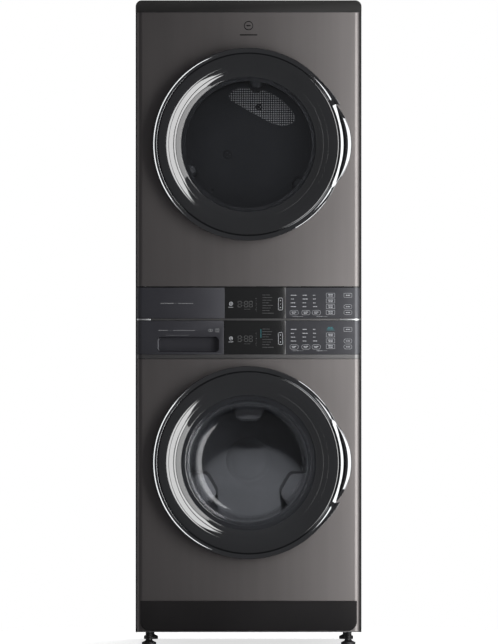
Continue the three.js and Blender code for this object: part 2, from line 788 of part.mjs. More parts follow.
const washerNeck = { neck: openingRadius - washerNeckGap, depth: washerNeckDepth };
const dryerNeck = { neck: openingRadius - dryerNeckGap, depth: dryerNeckDepth };
washer.add(
  meshOf('washer_door_trim', doorTrim(), chrome),
  meshOf('washer_door_bezel', doorBezel(), glossBlack),
  meshOf('washer_door_back', doorBack(washerNeck), greyPlastic),
  meshOf('washer_door_glass', washerGlass(), doorGlass),
  meshOf('washer_hinge_bracket', hingeBracket(), castIron),
);
dryer.add(
  meshOf('dryer_door_trim', doorTrim(), chrome),
  meshOf('dryer_door_bezel', doorBezel(), glossBlack),
  meshOf('dryer_door_back', doorBack(dryerNeck), greyPlastic),
  meshOf('dryer_door_glass', dryerGlass(), doorGlass),
  meshOf('dryer_hinge_bracket', hingeBracket(), castIron),
);

// ---------- washer: tub, drum and drive ----------
// A tapered ridge along Y, standing in from radius 'from', turned to 'angle' about the axis.
function ridge({ from, height, base, top, y, angle }) {
  const outline = shapeOf([
    [-base / 2, from],
    [-top / 2, from - height],
    [top / 2, from - height],
    [base / 2, from],
  ]);
  const geometry = extruded(outline, y[1] - y[0]).rotateX(Math.PI / 2).translate(0, y[1], 0);
  return solidOf(geometry.rotateY(THREE.MathUtils.degToRad(90 - angle)));
}

const shaftRadius = 15;
const pulleyRadius = 140;
const motorPulleyRadius = 10; // the drum turns once for fourteen turns of the motor
const pulleyY = [tubRear + 13, tubRear + 31];
const washerMotorZ = -(tubRadius + 76);
const washerMotorRadius = 62;
const springX = 235;
const springY = 60;
const damperBottom = bottomZ + 2.5 + gap - washerZ;
const damperLugRise = 46; // foot of each damper lug above the tub's lowest line
const damperTop = damperLugRise - tubRadius;
const lugHalf = 14;
const bootRoom = 18; // bellows beyond the tub's neck
const weightGap = 15;
const weightBore = Math.max(openingRadius, tubNeckRadius + bootRoom) + weightGap;

function washerTub() {
  const mid = tubRadius - tubWall / 2;
  const shell = turned(
    wall(
      [
        [tubNeckRadius, tubFront - 14],
        [tubNeckRadius, tubFront],
        [mid, tubFront],
        [mid, tubRear],
        [shaftRadius + 1 + tubWall / 2, tubRear],
        [shaftRadius + 1 + tubWall / 2, tubRear + 11],
      ],
      tubWall,
    ),
    innerFacets,
  );
  const ears = [-1, 1].map((side) => {
    const x = [side * springX - lugHalf, side * springX + lugHalf];
    return box(x, [springY - 12, springY + 12], [140, tubRadius - 14]);
  });
  const lugs = [-1, 1].map((side) => {
    const x = [side * damperX - lugHalf, side * damperX + lugHalf];
    return box(x, [damperY - lugHalf, damperY + lugHalf], [damperTop, damperTop + 50]);
  });
  const cradle = box([-45, 45], [tubRear - 150, tubRear - 40], [-tubRadius - 12, -tubRadius + 6]);
  const inside = [tubFront + tubWall / 2, tubRear - tubWall / 2];
  const hollow = rodY(tubRadius - tubWall, inside, { sides: innerFacets });
  return join(shell, cut(join(...ears, ...lugs, cradle), hollow));
}

function counterweight() {
  const y = [tubFront - 38, tubFront - tubWall / 2 - gap];
  const ring = cut(rodY(tubRadius - 9, y), rodY(weightBore, [y[0] - 1, y[1] + 1]));
  return ring.intersect(box([-tubRadius, tubRadius], [y[0] - 1, y[1] + 1], [-tubRadius, -20]));
}

function washerDrum() {
  const half = drumSheet / 2;
  const shell = turned(
    wall(
      [
        [drumMouthRadius, drumFront + 8],
        [drumMouthRadius + 5, drumFront],
        [drumRadius - 14, drumFront],
        [drumRadius - half, drumFront + 13],
        [drumRadius - half, drumRear],
        [0, drumRear],
      ],
      drumSheet,
    ),
    innerFacets,
  );
  const drumInside = rodY(drumRadius - half, [drumFront, drumRear], { sides: innerFacets });
  // Each lifter is a hollow pressing, open towards the back of the drum.
  const lifters = Array.from({ length: lifterCount }, (_, i) => {
    const angle = 90 + (i * 360) / lifterCount;
    const y = [drumFront + 40, drumRear - 6];
    const outside = ridge({
      from: drumRadius - 4,
      height: lifterHeight,
      base: lifterBase,
      top: lifterTop,
      y,
      angle,
    }).intersect(drumInside);
    const inside = ridge({
      from: drumRadius - 9,
      height: lifterHeight - 5 - lifterWall,
      base: lifterBase - 14,
      top: lifterTop - 2 * lifterWall,
      y: [y[0] + lifterWall, y[1] + 1],
      angle,
    });
    return cut(outside, inside);
  });
  return join(shell, ...lifters);
}

function drumPulley() {
  const rim = turned(
    [
      [shaftRadius - 1, pulleyY[0]],
      [pulleyRadius, pulleyY[0]],
      [pulleyRadius, pulleyY[1]],
      [pulleyRadius - 6, pulleyY[1]],
      [pulleyRadius - 6, pulleyY[0] + 5],
      [shaftRadius - 1, pulleyY[0] + 5],
    ],
    innerFacets,
  );
  const windows = Array.from({ length: 5 }, (_, i) => {
    const angle = (i * 2 * Math.PI) / 5;
    const at = { x: 78 * Math.cos(angle), z: 78 * Math.sin(angle), sides: 8 };
    return rodY(34, [pulleyY[0] - 1, pulleyY[1] + 1], at);
  });
  const shaft = rodY(shaftRadius, [drumRear + drumSheet / 2 + gap, pulleyY[1] + 4], {
    sides: smallFacets,
  });
  return join(cut(rim, ...windows), shaft);
}

function washerMotor() {
  const y = [tubRear - 165, tubRear - 25];
  const at = { z: washerMotorZ, sides: innerFacets };
  return join(
    rodY(washerMotorRadius, [y[0] + 20, y[1] - 20], at),
    rodY(washerMotorRadius - 12, y, at),
  );
}

function washerMotorPulley() {
  const at = { z: washerMotorZ, sides: smallFacets };
  return join(
    rodY(6, [tubRear - 25 + gap, pulleyY[1] + 3], at),
    rodY(motorPulleyRadius, pulleyY, at),
  );
}

// Outline of a belt round two pulleys, given as {x, z, r}; 'extra' is added to both radii. It runs
// along the two outer tangents.
function beltOutline(big, small, extra, steps = 20) {
  const a = { ...big, r: big.r + extra };
  const b = { ...small, r: small.r + extra };
  const dx = b.x - a.x;
  const dz = b.z - a.z;
  const heading = Math.atan2(dz, dx);
  const spread = Math.acos((a.r - b.r) / Math.hypot(dx, dz));
  const arc = (c, from, to, count) =>
    Array.from({ length: count + 1 }, (_, i) => {
      const angle = from + ((to - from) * i) / count;
      return [c.x + c.r * Math.cos(angle), c.z + c.r * Math.sin(angle)];
    });
  return [
    ...arc(a, heading + spread, heading + 2 * Math.PI - spread, steps),
    ...arc(b, heading - spread, heading + spread, 6),
  ];
}

function belt(big, small, clearance, thickness, y) {
  const outline = shapeOf(beltOutline(big, small, clearance + thickness));
  outline.holes.push(new THREE.Path(shapeOf(beltOutline(big, small, clearance)).getPoints()));
  return alongY(outline, y);
}

// Hanging spring between a tub ear and the deck above, and a damper between the base and the tub.
const springTop = deckZ - washerZ - 3;
const springBottom = tubRadius - 14 + gap;

function tubSpring(side) {
  const turns = 7;
  const radius = 11;
  const helix = new THREE.Curve();
  helix.getPoint = (t, target = new THREE.Vector3()) => {
    const angle = turns * 2 * Math.PI * t;
    const z = springBottom + 2.2 + (springTop - springBottom - 4.4) * t;
    return target.set(side * springX + radius * Math.cos(angle), springY + radius * Math.sin(angle), z);
  };
  const wire = shapeOf([
    [2, 0],
    [0, 2],
    [-2, 0],
    [0, -2],
  ]);
  return solidOf(new THREE.ExtrudeGeometry(wire, { steps: turns * 7, extrudePath: helix }));
}

function damper(side) {
  const at = { x: side * damperX, y: damperY };
  return join(
    rodZ(16, [damperBottom, damperBottom + 150], at),
    rodZ(6, [damperBottom + 149, damperTop - gap], at),
  );
}

// Bellows between the washer's front panel and the neck of the tub.
function doorBoot() {
  const bellows = [
    [openingRadius - 37, frontY + 14],
    [openingRadius - 34, frontY + 9],
    [openingRadius + 8, frontY + 9],
    [openingRadius + 8, frontY + 23],
    [tubNeckRadius + 9, frontY + 29],
    [tubNeckRadius + 17, frontY + 37],
    [tubNeckRadius + 9, frontY + 46],
    [tubNeckRadius + 9, tubFront - tubWall / 2 - 2],
  ];
  return turned(wall(bellows, 4), innerFacets);
}

function drainPump() {
  const at = { x: 140, z: bottomZ + 62 - washerZ, sides: innerFacets };
  return join(
    rodY(38, [frontY + 60, frontY + 130], at),
    rodY(28, [frontY + 129, frontY + 190], at),
    rodZ(12, [at.z, at.z + 70], { x: 140, y: frontY + 95 }),
  );
}

const beltY = [pulleyY[0] + 3, pulleyY[1] - 3];
const drumLoop = { x: 0, z: 0, r: pulleyRadius };
const motorLoop = { x: 0, z: washerMotorZ, r: motorPulleyRadius };
washer.add(
  meshOf('washer_tub', washerTub(), greyPlastic),
  meshOf('tub_counterweight', counterweight(), castIron),
  meshOf('washer_drum', washerDrum(), stainless),
  meshOf('drum_pulley', drumPulley(), aluminium),
  meshOf('washer_motor', washerMotor(), aluminium),
  meshOf('washer_motor_pulley', washerMotorPulley(), aluminium),
  meshOf(
    'washer_belt',
    belt(drumLoop, motorLoop, 0.9, 3, beltY),
    rubber,
  ),
  meshOf('tub_spring_left', tubSpring(-1), zincSheet),
  meshOf('tub_spring_right', tubSpring(1), zincSheet),
  meshOf('damper_left', damper(-1), blackPlastic),
  meshOf('damper_right', damper(1), blackPlastic),
  meshOf('door_boot', doorBoot(), rubber),
  meshOf('drain_pump', drainPump(), blackPlastic),
);

// Twin solenoid valve with two hose threads through the rear panel.
function inletValve() {
  const ports = inletX.map((x) => rodY(13, [rearY - 40, rearY + 25], { x, z: inletZ, sides: smallFacets }));
  const bores = inletX.map((x) => rodY(8, [rearY - 20, rearY + 30], { x, z: inletZ, sides: 16 }));
  const coils = inletX.map((x) => box([x - 14, x + 14], [rearY - 78, rearY - 36], [inletZ - 16, inletZ + 30]));
  const body = box([inletX[0] - 16, inletX[1] + 16], [rearY - 40, rearY - 8], [inletZ - 15, inletZ + 15]);
  return cut(join(body, ...coils, ...ports), ...bores);
}

tower.add(meshOf('inlet_valve', inletValve(), blackPlastic));

// ---------- dryer ----------
const collarRing = openingRadius - 7; // bulkhead's collar round the door opening
const plateFront = frontY + 18.5; // bulkhead's front plate
const seatRadius = dryerRadius - dryerSheet - seatGap;
const motorX = 110;
const motorZ = consoleTopZ + 8 - dryerZ;
const dryerMotorRadius = 58;
const blowerY = [frontY + 70, frontY + 130];
const blowerRadius = 88;
const shaftY = frontY + 315; // middle of the dryer's belt
const filterX = 105;
const slotGap = 1.2; // round the lint filter in its slot
const filterY = [frontY + 23, frontY + 36];
const filterZ = [-(dryerRadius + 28), 8 - collarRing];
const beltShare = 0.0071; // a belt's flat runs clear a faceted drum by this share of its radius

function dryerDrum() {
  const at = { sides: innerFacets };
  return cut(
    rodY(dryerRadius, [dryerFront, dryerRear], at),
    rodY(dryerRadius - dryerSheet, [dryerFront - 5, dryerRear + 5], at),
  );
}

function dryerVane(angle) {
  const reach = (dryerRadius - dryerSheet) * Math.cos(Math.PI / innerFacets) - gap;
  const from = Math.sqrt(reach ** 2 - (vaneBase / 2) ** 2);
  const y = [dryerFront + 60, dryerRear - 50];
  const outside = ridge({ from, height: vaneHeight, base: vaneBase, top: vaneTop, y, angle });
  const inside = ridge({
    from: from + 1,
    height: vaneHeight + 1 - vaneWall,
    base: vaneBase - 3 * vaneWall,
    top: vaneTop - 2 * vaneWall,
    y: [y[0] + vaneWall, y[1] - vaneWall],
    angle,
  });
  return cut(outside, inside);
}

function frontBulkhead() {
  const lip = seatRadius - 1.5;
  const plateRing = turned(
    wall(
      [
        [collarRing, frontY + 52],
        [collarRing, frontY + 2.4],
      ],
      2,
    ),
    innerFacets,
  );
  const at = { sides: innerFacets };
  const face = cut(
    rodY(dryerRadius + 12, [plateFront, plateFront + 2], at),
    rodY(collarRing, [plateFront - 1, plateFront + 3], at),
  );
  const seatPath = [
    [lip, plateFront + 1],
    [lip, dryerFront + seatDepth],
  ];
  const seat = turned(wall(seatPath, 3), innerFacets);
  const pocketY = [plateFront, filterY[1] + 4];
  const pocket = box([-filterX - 5, filterX + 5], pocketY, [filterZ[0] - 4, -collarRing + 14]);
  const slot = box(
    [-filterX - slotGap, filterX + slotGap],
    [filterY[0] - slotGap, filterY[1] + slotGap],
    [filterZ[0] - gap, 0],
  );
  const mouth = rodY(collarRing - 1, [frontY - 5, frontY + 90], at);
  const holding = join(plateRing, face, seat, cut(pocket, mouth));
  return cut(holding, slot);
}

function lintFilter() {
  const frame = box([-filterX, filterX], filterY, filterZ);
  const windows = [-1, 0, 1].map((i) =>
    box([i * 66 - 29, i * 66 + 29], [filterY[0] - 1, filterY[1] + 1], [filterZ[0] + 10, filterZ[1] - 34]),
  );
  const fingerHole = box([-32, 32], [filterY[0] - 1, filterY[1] - 4], [filterZ[1] - 24, filterZ[1] - 8]);
  return cut(frame, ...windows, fingerHole);
}

function rearBulkhead() {
  const faceY = dryerRear + 4;
  const disc = rodY(dryerRadius + 12, [faceY, faceY + 1.5], { sides: innerFacets });
  const seatPath = [
    [seatRadius - 1.5, faceY + 1],
    [seatRadius - 1.5, dryerRear - seatDepth],
  ];
  const seat = turned(wall(seatPath, 3), innerFacets);
  // Air slots in the patch high on the disc.
  const slots = Array.from({ length: 5 }, (_, i) =>
    box([-56 + i * 30, -40 + i * 30], [faceY - 1, faceY + 3], [126 - i * 10, 208 - i * 14]),
  );
  return cut(join(disc, seat), ...slots);
}

function heaterBox() {
  const y = [dryerRear + 5.5 + gap, dryerRear + 44];
  const x = [-90, 130];
  const z = [60, 226];
  return cut(
    box(x, y, z),
    box([x[0] + 1.2, x[1] - 1.2], [y[0] - 5, y[1] - 1.2], [z[0] + 1.2, z[1] - 1.2]),
  );
}

const ductLocalZ = ductZ - dryerZ;

function blowerHousing() {
  const at = { x: motorX, z: motorZ, sides: innerFacets };
  const outlet = (inset, y) =>
    box(
      [motorX, ductX + ductRadius + 5 - inset],
      y,
      [ductLocalZ - ductRadius - 3 + inset, ductLocalZ + ductRadius + 3 - inset],
    );
  const inner = [blowerY[0] + 3, blowerY[1] - 3];
  return cut(
    join(rodY(blowerRadius, blowerY, at), outlet(0, blowerY)),
    join(rodY(blowerRadius - 3, inner, at), outlet(3, inner)),
    rodY(50, [blowerY[0] - 5, blowerY[0] + 5], at),
    rodY(12, [blowerY[1] - 5, blowerY[1] + 5], { ...at, sides: smallFacets }),
    rodY(ductRadius - 2, [blowerY[1] - 5, blowerY[1] + 5], { x: ductX, z: ductLocalZ, sides: innerFacets }),
  );
}

function exhaustDuct() {
  const y = [blowerY[1] + gap, rearY + collarProud];
  const at = { x: ductX, z: ductLocalZ, sides: innerFacets };
  return cut(rodY(ductRadius, y, at), rodY(ductRadius - 1, [y[0] - 1, y[1] + 1], at));
}

const dryerMotorY = [blowerY[1] + 12, shaftY - 30];

function dryerMotor() {
  const at = { x: motorX, z: motorZ };
  const legs = [dryerMotorY[0] + 15, dryerMotorY[1] - 23].map((y) =>
    box([motorX - 50, motorX + 50], [y, y + 8], [deckZ + 1.5 + gap - dryerZ, motorZ]),
  );
  const body = join(rodY(dryerMotorRadius, dryerMotorY, { ...at, sides: innerFacets }), ...legs);
  return cut(body, rodY(9, [dryerMotorY[0] - 5, dryerMotorY[1] + 5], { ...at, sides: smallFacets }));
}

const dryerPulleyRadius = 14;

// One shaft carries the blower wheel at the front and the belt pulley at the back.
function dryerMotorShaft() {
  const at = { x: motorX, z: motorZ, sides: smallFacets };
  const y = [blowerY[0] + 8, blowerY[1] - 6];
  const blades = Array.from({ length: 12 }, (_, i) => {
    const geometry = new THREE.BoxGeometry(26, y[1] - y[0] - 2, 2.4);
    geometry.translate(60, (y[0] + y[1]) / 2, 0).rotateY((i * Math.PI) / 6);
    return solidOf(geometry.translate(motorX, 0, motorZ));
  });
  return join(
    rodY(8, [y[0] + 4, shaftY + 14], at),
    rodY(74, [y[1] - 3, y[1]], { ...at, sides: innerFacets }),
    ...blades,
    rodY(dryerPulleyRadius, [shaftY - 10, shaftY + 10], at),
  );
}

function dryerDeck() {
  const x = halfWidth - sideSheet - gap;
  const y = [frontY + panelReturn + 4, rearY - sideSheet - gap];
  const channel = cut(
    box([-x, x], y, [deckZ, deckZ + 22]),
    box([-x + 2, x - 2], [y[0] - 5, y[1] + 5], [deckZ + 1.5, deckZ + 30]),
  );
  return cut(channel, box([-300, -200], [-20, 120], [deckZ - 5, deckZ + 5]));
}

const bigLoop = { x: 0, z: 0, r: dryerRadius };
const smallLoop = { x: motorX, z: motorZ, r: dryerPulleyRadius };
const dryerBelt = belt(bigLoop, smallLoop, beltShare * dryerRadius, 2.5, [shaftY - 5, shaftY + 5]);
dryer.add(
  meshOf('dryer_front_bulkhead', frontBulkhead(), zincSheet),
  meshOf('dryer_rear_bulkhead', rearBulkhead(), zincSheet),
  meshOf('heater_box', heaterBox(), zincSheet),
  meshOf('dryer_drum', dryerDrum(), stainless),
  ...vaneAngles.map((angle, i) => meshOf(`dryer_vane_${i + 1}`, dryerVane(angle), greyPlastic)),
  meshOf('lint_filter', lintFilter(), greyPlastic),
  meshOf('dryer_belt', dryerBelt, rubber),
  meshOf('blower_housing', blowerHousing(), blackPlastic),
  meshOf('exhaust_duct', exhaustDuct(), zincSheet),
  meshOf('dryer_motor', dryerMotor(), aluminium),
  meshOf('dryer_motor_shaft', dryerMotorShaft(), aluminium),
);
tower.add(meshOf('dryer_deck', dryerDeck(), zincSheet));

export default tower;
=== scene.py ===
import math

import bmesh
import bpy
from mathutils import Matrix, Vector


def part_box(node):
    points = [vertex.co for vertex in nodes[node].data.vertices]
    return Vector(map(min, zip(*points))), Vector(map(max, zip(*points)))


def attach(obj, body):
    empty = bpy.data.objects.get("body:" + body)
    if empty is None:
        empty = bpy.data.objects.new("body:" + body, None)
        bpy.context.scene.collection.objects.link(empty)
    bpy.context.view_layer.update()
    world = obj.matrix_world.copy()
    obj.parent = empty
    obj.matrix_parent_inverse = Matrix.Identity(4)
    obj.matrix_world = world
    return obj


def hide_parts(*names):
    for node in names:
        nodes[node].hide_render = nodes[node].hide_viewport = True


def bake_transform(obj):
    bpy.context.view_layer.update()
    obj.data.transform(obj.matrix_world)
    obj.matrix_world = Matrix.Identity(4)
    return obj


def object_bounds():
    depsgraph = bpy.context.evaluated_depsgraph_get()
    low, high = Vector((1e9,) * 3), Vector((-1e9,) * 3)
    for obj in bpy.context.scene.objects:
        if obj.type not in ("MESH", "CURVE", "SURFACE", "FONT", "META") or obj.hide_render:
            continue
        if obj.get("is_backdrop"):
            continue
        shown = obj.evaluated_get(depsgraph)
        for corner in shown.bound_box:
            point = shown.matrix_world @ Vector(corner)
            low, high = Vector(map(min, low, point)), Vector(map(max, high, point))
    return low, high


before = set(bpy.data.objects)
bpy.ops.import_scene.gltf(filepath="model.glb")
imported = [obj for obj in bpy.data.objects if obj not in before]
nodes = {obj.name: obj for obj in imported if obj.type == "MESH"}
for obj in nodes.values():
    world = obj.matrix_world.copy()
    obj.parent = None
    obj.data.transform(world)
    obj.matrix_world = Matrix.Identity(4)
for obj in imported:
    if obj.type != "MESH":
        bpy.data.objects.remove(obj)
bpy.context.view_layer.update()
mm = 0.001

print("frame loaded")


# ---------- node helpers for the finishes ----------
def newMaterial(name):
    material = bpy.data.materials.new(name)
    material.use_nodes = True
    tree = material.node_tree
    shader = tree.nodes["Principled BSDF"]
    return material, tree, shader


def addNode(tree, kind, **values):
    node = tree.nodes.new("ShaderNode" + kind)
    for name, value in values.items():
        node.inputs[name].default_value = value
    return node


def objectPattern(tree, scale):
    place = addNode(tree, "TexCoord")
    mapping = addNode(tree, "Mapping", Scale=scale)
    tree.links.new(place.outputs["Object"], mapping.inputs["Vector"])
    return mapping.outputs["Vector"]


def noise(tree, scale, detail=3, rough=0.55):
    made = addNode(tree, "TexNoise", Scale=1, Detail=detail, Roughness=rough)
    tree.links.new(objectPattern(tree, scale), made.inputs["Vector"])
    return made.outputs["Fac"]


def blendColour(tree, factor, first, second):
    ramp = addNode(tree, "ValToRGB")
    ramp.color_ramp.elements[0].position = 0.3
    ramp.color_ramp.elements[1].position = 0.7
    ramp.color_ramp.elements[0].color = (*first, 1)
    ramp.color_ramp.elements[1].color = (*second, 1)
    tree.links.new(factor, ramp.inputs["Fac"])
    return ramp.outputs["Color"]


def spread(tree, factor, low, high):
    ranged = addNode(tree, "MapRange", **{"From Min": 0.25, "From Max": 0.75, "To Min": low, "To Max": high})
    tree.links.new(factor, ranged.inputs["Value"])
    return ranged.outputs["Result"]


def addBump(tree, shader, height, strength, distance):
    bump = addNode(tree, "Bump", Strength=strength, Distance=distance)
    tree.links.new(height, bump.inputs["Height"])
    tree.links.new(bump.outputs["Normal"], shader.inputs["Normal"])


# One finish: a colour that drifts between two tones, roughness that varies, and a fine surface.
# A single number for drift or grain is the same scale along all three axes.
def finish(name, tones, metallic, roughness, drift, grain, bump, coat=0.0, coatRoughness=0.05, specular=0.5):
    material, tree, shader = newMaterial(name)
    drift, grain = ((scale,) * 3 if isinstance(scale, int) else scale for scale in (drift, grain))
    broad = noise(tree, drift, 4, 0.5)
    fine = noise(tree, grain, 2, 0.6)
    tree.links.new(blendColour(tree, broad, *tones), shader.inputs["Base Color"])
    tree.links.new(spread(tree, fine, *roughness), shader.inputs["Roughness"])
    addBump(tree, shader, fine, *bump)
    for socket, value in (("Metallic", metallic), ("Coat Weight", coat), ("Coat Roughness", coatRoughness),
                          ("Specular IOR Level", specular)):
        shader.inputs[socket].default_value = value
    return material


titaniumSteel = finish("titaniumSteel", ((0.212, 0.198, 0.194), (0.226, 0.211, 0.207)),
    1.0, (0.42, 0.47), (34, 34, 0.7), (1400, 1400, 9), (0.04, 0.00006))
sidePaint = finish("sidePaint", ((0.014, 0.014, 0.0145), (0.019, 0.019, 0.0195)),
    0.0, (0.36, 0.46), 3, 650, (0.12, 0.0001))
coverPlastic = finish("coverPlastic", ((0.024, 0.0235, 0.023), (0.030, 0.0292, 0.0287)),
    0.0, (0.50, 0.60), 5, 1100, (0.25, 0.0001), specular=0.12)
toePlastic = finish("toePlastic", ((0.0135, 0.0125, 0.013), (0.0175, 0.0165, 0.017)),
    0.0, (0.44, 0.54), 5, 1000, (0.18, 0.0001), specular=0.12)
zincSheet = finish("zincSheet", ((0.36, 0.37, 0.38), (0.50, 0.51, 0.52)),
    0.9, (0.38, 0.55), 45, 160, (0.05, 0.0001))
consoleLacquer = finish("consoleLacquer", ((0.044, 0.044, 0.052), (0.050, 0.050, 0.058)),
    0.45, (0.33, 0.40), 8, 1800, (0.03, 0.00005), 0.12, 0.15)
keyLacquer = finish("keyLacquer", ((0.069, 0.070, 0.078), (0.079, 0.080, 0.088)),
    0.45, (0.32, 0.38), 8, 1800, (0.03, 0.00005), 0.15, 0.12)
consoleTrim = finish("consoleTrim", ((0.060, 0.059, 0.058), (0.078, 0.077, 0.075)),
    1.0, (0.22, 0.30), (3, 40, 40), (8, 900, 900), (0.05, 0.00005))
displayGlass = finish("displayGlass", ((0.0105, 0.0108, 0.011), (0.0125, 0.0127, 0.013)),
    0.0, (0.10, 0.15), 4, 700, (0.01, 0.00003), 0.6, 0.04)
darkChrome = finish("darkChrome", ((0.24, 0.245, 0.25), (0.28, 0.285, 0.29)),
    1.0, (0.045, 0.075), 10, 420, (0.01, 0.00003))
pianoBlack = finish("pianoBlack", ((0.0085, 0.009, 0.0098), (0.011, 0.0116, 0.0125)),
    0.0, (0.06, 0.10), 7, 600, (0.01, 0.00003), 1.0, 0.02, 0.9)
pianoBlack.node_tree.nodes["Principled BSDF"].inputs["Coat IOR"].default_value = 1.75
greyPlastic = finish("greyPlastic", ((0.085, 0.09, 0.096), (0.105, 0.11, 0.117)),
    0.0, (0.42, 0.54), 7, 900, (0.2, 0.0001))
trayPlastic = finish("trayPlastic", ((0.42, 0.43, 0.44), (0.47, 0.48, 0.49)),
    0.0, (0.35, 0.45), 9, 900, (0.15, 0.0001))
blackPlastic = finish("blackPlastic", ((0.016, 0.016, 0.017), (0.024, 0.024, 0.025)),
    0.0, (0.42, 0.58), 12, 800, (0.25, 0.00012))
doorInner = finish("doorInner", ((0.026, 0.027, 0.029), (0.034, 0.035, 0.037)),
    0.0, (0.42, 0.54), 7, 900, (0.2, 0.0001))
bootRubber = finish("bootRubber", ((0.065, 0.067, 0.070), (0.09, 0.093, 0.097)),
    0.0, (0.55, 0.72), 14, 700, (0.3, 0.00015))
beltRubber = finish("beltRubber", ((0.020, 0.020, 0.021), (0.032, 0.032, 0.033)),
    0.0, (0.55, 0.7), 14, 700, (0.3, 0.00015))
badgeMetal = finish("badgeMetal", ((0.045, 0.044, 0.044), (0.06, 0.058, 0.058)),
    1.0, (0.25, 0.33), 30, 900, (0.03, 0.00004))
stripMetal = finish("stripMetal", ((0.17, 0.168, 0.168), (0.20, 0.198, 0.198)),
    1.0, (0.36, 0.44), (3, 40, 40), (8, 900, 900), (0.04, 0.00005))
# painted highlight: near-white metal for the caps on the divider's ends, standing in for the glint those ends catch
# from the lamps
paintedHighlightMetal = finish("paintedHighlightMetal", ((0.84, 0.85, 0.87), (0.90, 0.91, 0.92)),
    1.0, (0.36, 0.42), (3, 40, 40), (8, 900, 900), (0.04, 0.00005))
screwSteel = finish("screwSteel", ((0.20, 0.20, 0.205), (0.28, 0.28, 0.285)),
    1.0, (0.3, 0.45), 60, 500, (0.1, 0.0001))
castIron = finish("castIron", ((0.06, 0.06, 0.06), (0.10, 0.098, 0.096)),
    0.7, (0.55, 0.75), 30, 350, (0.5, 0.0004))
castAluminium = finish("castAluminium", ((0.42, 0.43, 0.44), (0.52, 0.53, 0.54)),
    1.0, (0.34, 0.5), 25, 300, (0.25, 0.0002))
dryerWall = finish("dryerWall", ((0.045, 0.047, 0.050), (0.054, 0.056, 0.059)),
    0.2, (0.45, 0.55), 6, 500, (0.1, 0.0001))
vanePlastic = finish("vanePlastic", ((0.05, 0.052, 0.055), (0.065, 0.067, 0.07)),
    0.0, (0.38, 0.5), 9, 700, (0.15, 0.0001))
lifterPlastic = finish("lifterPlastic", ((0.16, 0.163, 0.168), (0.20, 0.203, 0.208)),
    0.3, (0.34, 0.46), 9, 700, (0.12, 0.0001))
darkFitting = finish("darkFitting", ((0.035, 0.036, 0.038), (0.05, 0.051, 0.053)),
    0.3, (0.35, 0.5), 30, 700, (0.1, 0.0001))
legendPrint = finish("legendPrint", ((0.40, 0.41, 0.43), (0.46, 0.47, 0.49)),
    0.0, (0.45, 0.55), 20, 900, (0.05, 0.00003))
legendSoft = finish("legendSoft", ((0.20, 0.205, 0.21), (0.24, 0.245, 0.25)),
    0.0, (0.45, 0.55), 20, 900, (0.05, 0.00003))
legendDim = finish("legendDim", ((0.060, 0.061, 0.062), (0.075, 0.076, 0.077)),
    0.0, (0.4, 0.5), 20, 900, (0.05, 0.00003))
legendTeal = finish("legendTeal", ((0.035, 0.17, 0.19), (0.045, 0.20, 0.22)),
    0.0, (0.4, 0.5), 20, 900, (0.05, 0.00003))
circuitGreen = finish("circuitGreen", ((0.01, 0.07, 0.03), (0.02, 0.10, 0.045)),
    0.0, (0.4, 0.5), 60, 500, (0.1, 0.0001))


def calc(tree, operation, *values):
    node = addNode(tree, "Math")
    node.operation = operation
    for socket, value in zip(node.inputs, values):
        if isinstance(value, (int, float)):
            socket.default_value = value
        else:
            tree.links.new(value, socket)
    return node.outputs[0]


def mixColour(tree, shader, factor, first, second):
    mix = addNode(tree, "Mix")
    mix.data_type = "RGBA"
    for name, value in (("A", first), ("B", second)):
        if isinstance(value, tuple):
            mix.inputs[name].default_value = (*value, 1)
        else:
            tree.links.new(value, mix.inputs[name])
    tree.links.new(factor, mix.inputs["Factor"])
    tree.links.new(mix.outputs["Result"], shader.inputs["Base Color"])


# Stainless sheet with rows of round holes, laid round an axis along Y at height axisZ.
def perforatedSteel(name, axisZ, radius, pitch, holeShare):
    material, tree, shader = newMaterial(name)
    place = addNode(tree, "TexCoord")
    split = addNode(tree, "SeparateXYZ")
    tree.links.new(place.outputs["Object"], split.inputs[0])
    x = split.outputs["X"]
    height = calc(tree, "SUBTRACT", split.outputs["Z"], axisZ)
    around = calc(tree, "MULTIPLY", calc(tree, "ARCTAN2", height, x), radius / pitch)
    along = calc(tree, "DIVIDE", split.outputs["Y"], pitch)
    shifted = calc(tree, "ADD", around, calc(tree, "MULTIPLY", calc(tree, "FLOOR", along), 0.5))
    u, v = (calc(tree, "SUBTRACT", calc(tree, "FRACT", value), 0.5) for value in (shifted, along))
    squares = [calc(tree, "MULTIPLY", value, value) for value in (u, v, x, height)]
    distance = calc(tree, "SQRT", calc(tree, "ADD", *squares[:2]))
    away = calc(tree, "SQRT", calc(tree, "ADD", *squares[2:]))
    onWall = calc(tree, "GREATER_THAN", away, radius * 0.97)
    hole = calc(tree, "MULTIPLY", calc(tree, "LESS_THAN", distance, holeShare), onWall)
    steel = calc(tree, "SUBTRACT", 1.0, hole)
    sheet = blendColour(tree, noise(tree, (9, 120, 9)), (0.42, 0.43, 0.44), (0.5, 0.51, 0.52))
    mixColour(tree, shader, steel, (0.004, 0.004, 0.005), sheet)
    tree.links.new(calc(tree, "MULTIPLY", steel, 0.7), shader.inputs["Metallic"])
    tree.links.new(spread(tree, noise(tree, (30, 700, 30)), 0.36, 0.5), shader.inputs["Roughness"])
    addBump(tree, shader, calc(tree, "SMOOTH_MIN", distance, holeShare * 1.3, 0.1), 0.5, 0.0012)
    return material


